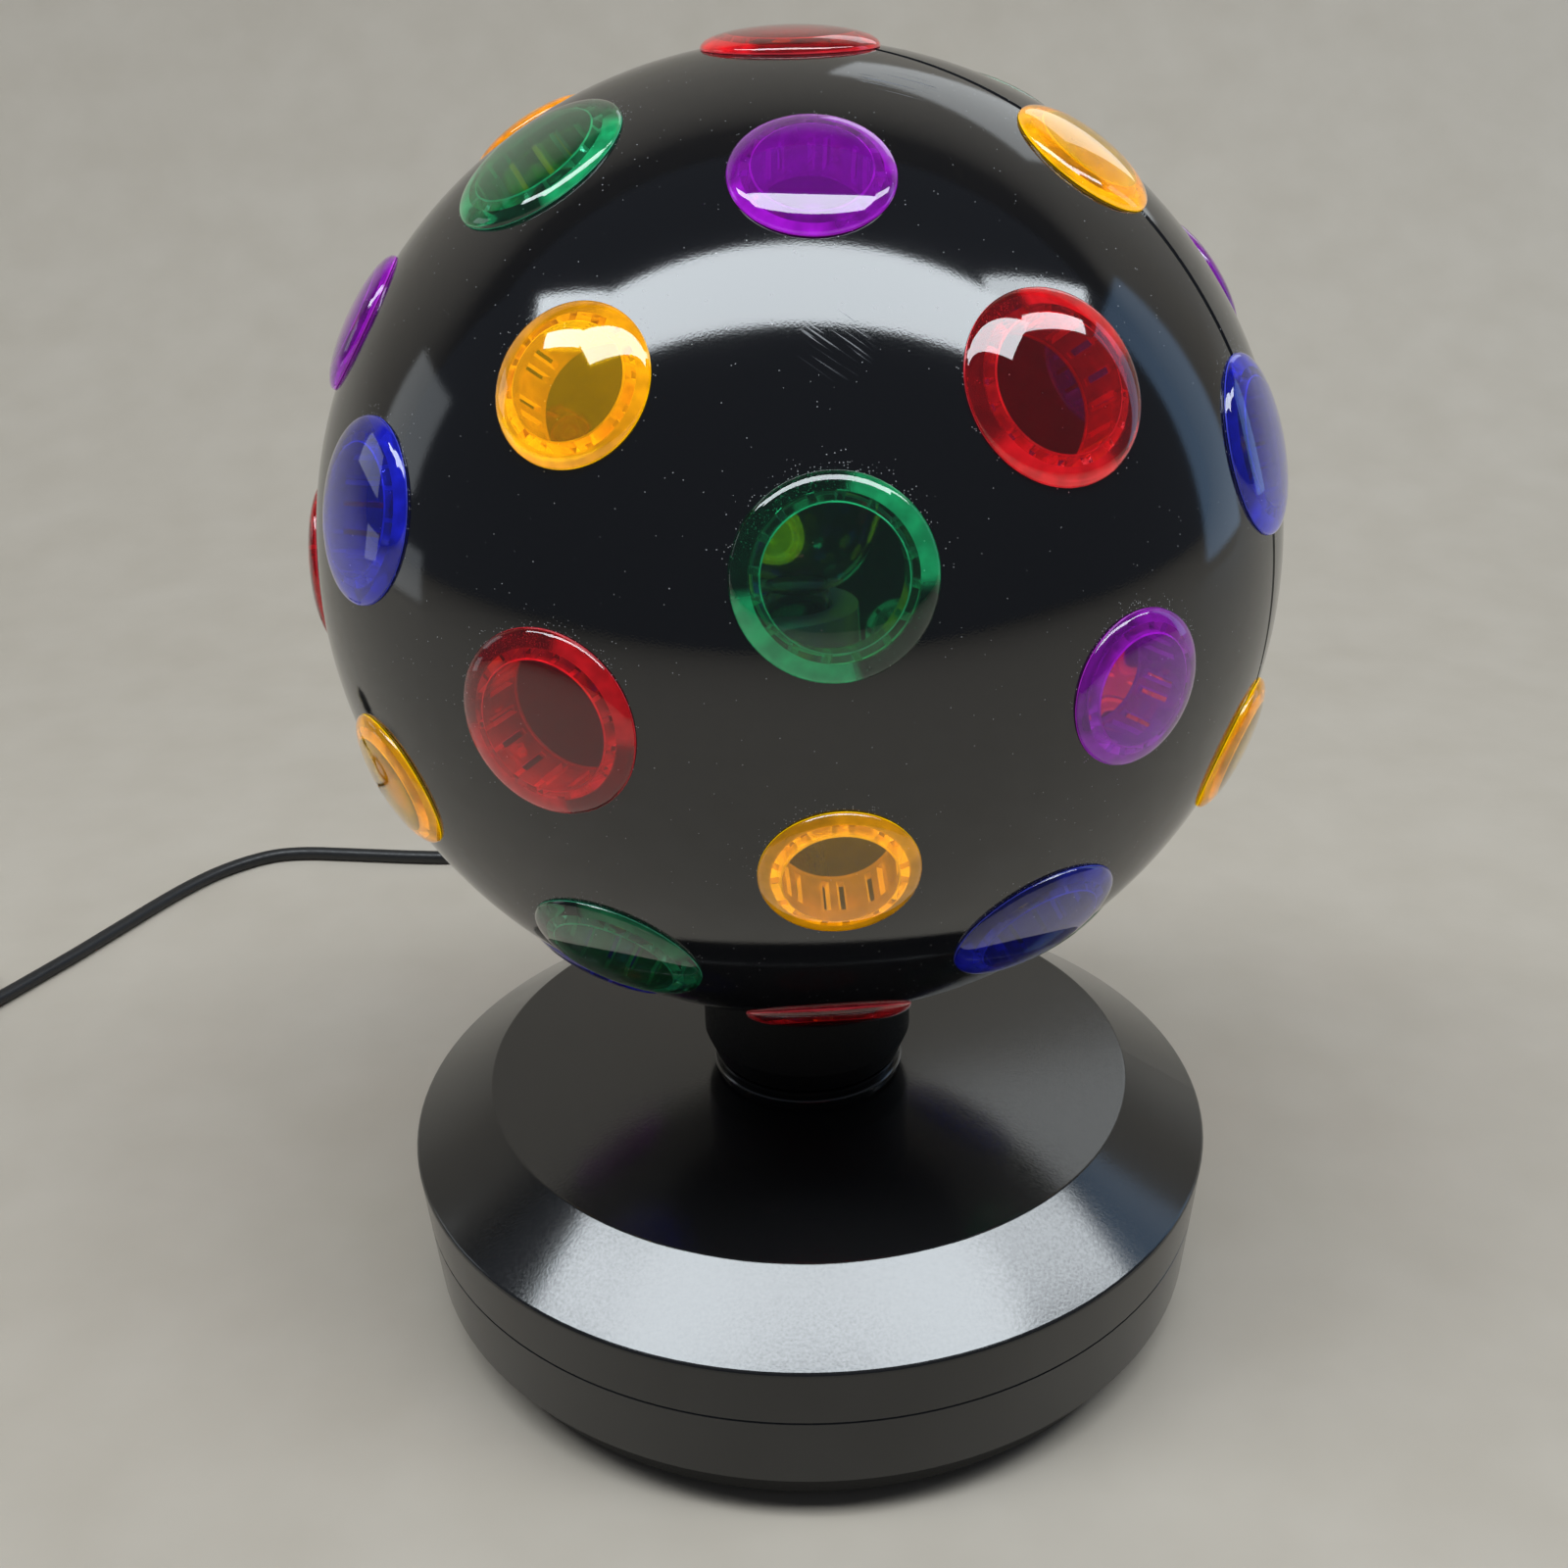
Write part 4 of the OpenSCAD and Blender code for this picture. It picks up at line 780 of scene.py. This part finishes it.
def coil_spot(t):
    """Point of the coil after t turns, which winds in and out by turns, a layer at a time."""
    layer_turns = COIL_TURNS / COIL_LAYERS
    m = t / layer_turns
    fold = abs(m - 2 * math.floor(m / 2) - 1)
    r = COIL_IN_R + COIL_PITCH * layer_turns * fold
    near = (m - round(m)) * layer_turns
    climb = math.floor(m)
    if 1 <= round(m) <= COIL_LAYERS - 1 and abs(near) <= COIL_CLIMB:
        climb = round(m) - 0.5 + 0.5 * math.sin(2 * math.pi * near)
    a = math.radians(COIL_START - 360 * t)
    z = COIL_Z + COIL_PITCH * min(climb, COIL_LAYERS - 1)
    return Vector((COIL_CENTRE[0] + r * math.cos(a), COIL_CENTRE[1] + r * math.sin(a), z))


def cord_route():
    """Points of the cord from its strain relief, along the floor, round its coil and to its plug."""
    last = math.floor(COIL_TURNS * COIL_STEPS - 0.5)
    start = math.radians(COIL_START)
    heading = Vector((math.sin(start), -math.cos(start), 0))
    route = [Vector(RELIEF_TIP)] + [Vector(p) * MM for p in RUN_POINTS_MM]
    route.append(coil_spot(0) - CORD_D * heading)
    route += [coil_spot(i / COIL_STEPS) for i in range(last + 1)]
    leave = coil_spot(COIL_TURNS)
    route.append(leave)
    route += [leave + Vector(p) * MM for p in TAIL_POINTS_MM]
    return route


def build_cord(mat):
    """The mains cord as one smooth curve."""
    route = cord_route()
    curve = bpy.data.curves.new("mains_cord", "CURVE")
    curve.dimensions = "3D"
    curve.bevel_depth = CORD_D / 2
    curve.bevel_resolution = 5
    curve.resolution_u = 4
    curve.use_fill_caps = True
    spline = curve.splines.new("BEZIER")
    spline.bezier_points.add(len(route) - 1)
    for i, (spot, point) in enumerate(zip(route, spline.bezier_points)):
        ahead = route[min(i + 1, len(route) - 1)]
        behind = route[max(i - 1, 0)]
        along = (ahead - behind).normalized()
        point.handle_left_type = "FREE"
        point.handle_right_type = "FREE"
        point.co = spot
        point.handle_left = spot - along * (spot - behind).length / 3
        point.handle_right = spot + along * (ahead - spot).length / 3
    cord = bpy.data.objects.new("mains_cord", curve)
    # the coil is put away outside the view, and isn't to show in the ball
    cord.visible_glossy = False
    bpy.context.scene.collection.objects.link(cord)
    dress(cord, "base", "cord_pvc", ["cord_run", "cord_coil"], mat)


# Stage, light and camera

def build_stage():
    """Plain floor that curves up into a back wall."""
    mat, tree, shader = new_material("stage_paper")
    coords = object_coords(tree)
    fleck = between(tree, noise(tree, coords, scale=30, detail=4), 0.3, 0.7)
    link(tree, mixed(tree, fleck, STAGE_DARK, STAGE_LIGHT), shader, "Base Color")
    shader.inputs["Roughness"].default_value = STAGE_ROUGH
    bend_start = STAGE_BACK - STAGE_BEND
    line = [(STAGE_FRONT, 0), (bend_start, 0)]
    for a in range(10, 91, 10):
        angle = math.radians(a)
        line.append((bend_start + STAGE_BEND * math.sin(angle), STAGE_BEND - STAGE_BEND * math.cos(angle)))
    line.append((STAGE_BACK, STAGE_TOP))
    verts = [(x, y, z) for y, z in line for x in (-STAGE_HALF, STAGE_HALF)]
    faces = [(2 * i, 2 * i + 1, 2 * i + 3, 2 * i + 2) for i in range(len(line) - 1)]
    floor = mesh_object("stage_floor", verts, faces)
    floor.data.shade_smooth()
    floor.data.materials.append(mat)


def area_light(name, at, rotation, size, glow, colour):
    """A rectangular lamp, which shines along its own -Z."""
    lamp = bpy.data.lights.new(name, "AREA")
    lamp.shape = "RECTANGLE"
    lamp.size, lamp.size_y = size
    lamp.energy = glow * math.pi * size[0] * size[1]
    lamp.color = colour
    obj = bpy.data.objects.new(name, lamp)
    obj.location = at
    obj.rotation_euler = rotation
    bpy.context.scene.collection.objects.link(obj)


def build_light():
    """Ceiling panels, dim windows and the glow of the surroundings."""
    world = bpy.data.worlds.new("studio")
    world.use_nodes = True
    world.node_tree.nodes["Background"].inputs["Color"].default_value = (*WORLD_COLOUR, 1)
    bpy.context.scene.world = world
    for name, x, y, size, glow, swing in PANELS:
        area_light(name, (x, y, PANEL_Z), (0, 0, math.radians(swing)), size, glow, COOL)
    for name, at, aim, size, glow, colour in WINDOWS:
        facing = (Vector(aim) - Vector(at)).to_track_quat("-Z", "Y").to_euler()
        area_light(name, at, facing, size, glow, colour)


def build_camera():
    """The photograph's camera."""
    lens = bpy.data.cameras.new("camera")
    lens.sensor_width = SENSOR
    lens.lens = CAMERA_LENS
    lens.clip_start = CLIP_START
    eye = bpy.data.objects.new("camera", lens)
    back = CAMERA_RIGHT.cross(CAMERA_UP)
    pose = Matrix((CAMERA_RIGHT, CAMERA_UP, back)).transposed().to_4x4()
    pose.translation = CAMERA_AT
    eye.matrix_world = pose
    bpy.context.scene.collection.objects.link(eye)
    bpy.context.scene.camera = eye


# The scene

build_camera()

# each finish: colour, roughness, mottle, waves to the metre of mottle and grain, and the grain's depth in mm
cord_pvc = plain("cord_pvc", (0.012, 0.012, 0.013), 0.42, 0.2, 80, 1400, 0.015)
build_cord(cord_pvc)

ball_gloss = ball_material()
ball_inside = plain("ball_inside", (0.05, 0.05, 0.05), 0.5, 0.15, 40, 700, 0.03)
build_shell("ball_front", 0, "ball_shell_front", ball_gloss, ball_inside)
build_shell("ball_rear", 180, "ball_shell_rear", ball_gloss, ball_inside)
build_lenses()

base_satin = plain("base_satin", (0.008, 0.008, 0.0085), 0.15, 0.12, 35, 1500, 0.011, rough_spread=0.03)
shine(base_satin, BASE_SHINE)
# painted shade: the side wall, the plinth under it and the neck under the ball reflect less
paint_shade_by_height(base_satin, (
    (WALL_TOP - FADE, WALL_TOP + FADE, WALL_SHADED_SHINE),
    (WALL_FOOT - FADE, WALL_FOOT + FADE, PLINTH_SHADED_SHINE),
    (NECK_FOOT + FADE, NECK_FOOT - FADE, NECK_SHADED_SHINE),
))
hub_satin = plain("hub_satin", (0.006, 0.006, 0.0065), 0.55, 0.12, 50, 1300, 0.02, rough_spread=0.06)
shine(hub_satin, HUB_SHINE)
rubber = plain("foot_rubber", (0.02, 0.02, 0.021), 0.7, 0.2, 120, 1800, 0.04)
zinc = plain("screw_zinc", (0.55, 0.56, 0.58), 0.34, 0.12, 300, 2500, 0.01, metal=1.0)
turned = plain("turned_steel", (0.60, 0.61, 0.63), 0.28, 0.08, 200, 3000, 0.008, metal=1.0)
bronze = plain("bush_bronze", (0.55, 0.37, 0.17), 0.4, 0.2, 250, 2500, 0.015, metal=1.0)
brass = plain("brass", (0.76, 0.58, 0.25), 0.3, 0.12, 200, 2500, 0.01, metal=1.0)
nickel = plain("blade_nickel", (0.74, 0.68, 0.52), 0.25, 0.1, 200, 2500, 0.008, metal=1.0)
tin = plain("motor_can", (0.62, 0.63, 0.62), 0.38, 0.1, 120, 2200, 0.012, metal=1.0)
aluminium = plain("post_aluminium", (0.74, 0.75, 0.76), 0.33, 0.08, 150, 2600, 0.01, metal=1.0)
nylon = plain("nylon", (0.82, 0.79, 0.71), 0.45, 0.06, 90, 900, 0.02)
ceramic = plain("holder_ceramic", (0.86, 0.84, 0.78), 0.15, 0.04, 60, 400, 0.02, rough_spread=0.05)
wire = plain("wire_pvc", (0.36, 0.18, 0.09), 0.45, 0.25, 150, 1200, 0.015)
switch_black = plain("switch_black", (0.014, 0.014, 0.015), 0.24, 0.12, 90, 1500, 0.012,
                     rough_spread=0.05)
strap = plain("tie_strap", (0.02, 0.02, 0.02), 0.7, 0.3, 300, 2600, 0.05)

for mat, nodes in (
    (base_satin, ("base_cover", "base_pan")),
    (hub_satin, ("ball_hub",)),
    (rubber, ("rubber_feet",)),
    (zinc, ("base_screws", "motor_screws", "hub_screw", "retaining_ring")),
    (turned, ("spindle_tube", "motor_shaft")),
    (bronze, ("neck_bush",)),
    (brass, ("drive_pinion", "post_nut", "bulb_cap")),
    (nickel, ("plug_blades",)),
    (tin, ("motor_body",)),
    (aluminium, ("lamp_post",)),
    (nylon, ("thrust_washer", "spindle_gear", "terminal_block")),
    (ceramic, ("lamp_holder",)),
    (glass_material(), ("bulb_glass",)),
    (wire, ("wiring",)),
    (switch_black, ("switch_body", "switch_rocker")),
    (cord_pvc, ("strain_relief", "plug_body")),
    (strap, ("cord_tie",)),
):
    for name in nodes:
        dress_cad(name, mat)

build_stage()
build_light()
bpy.context.scene.view_settings.view_transform = "Standard"
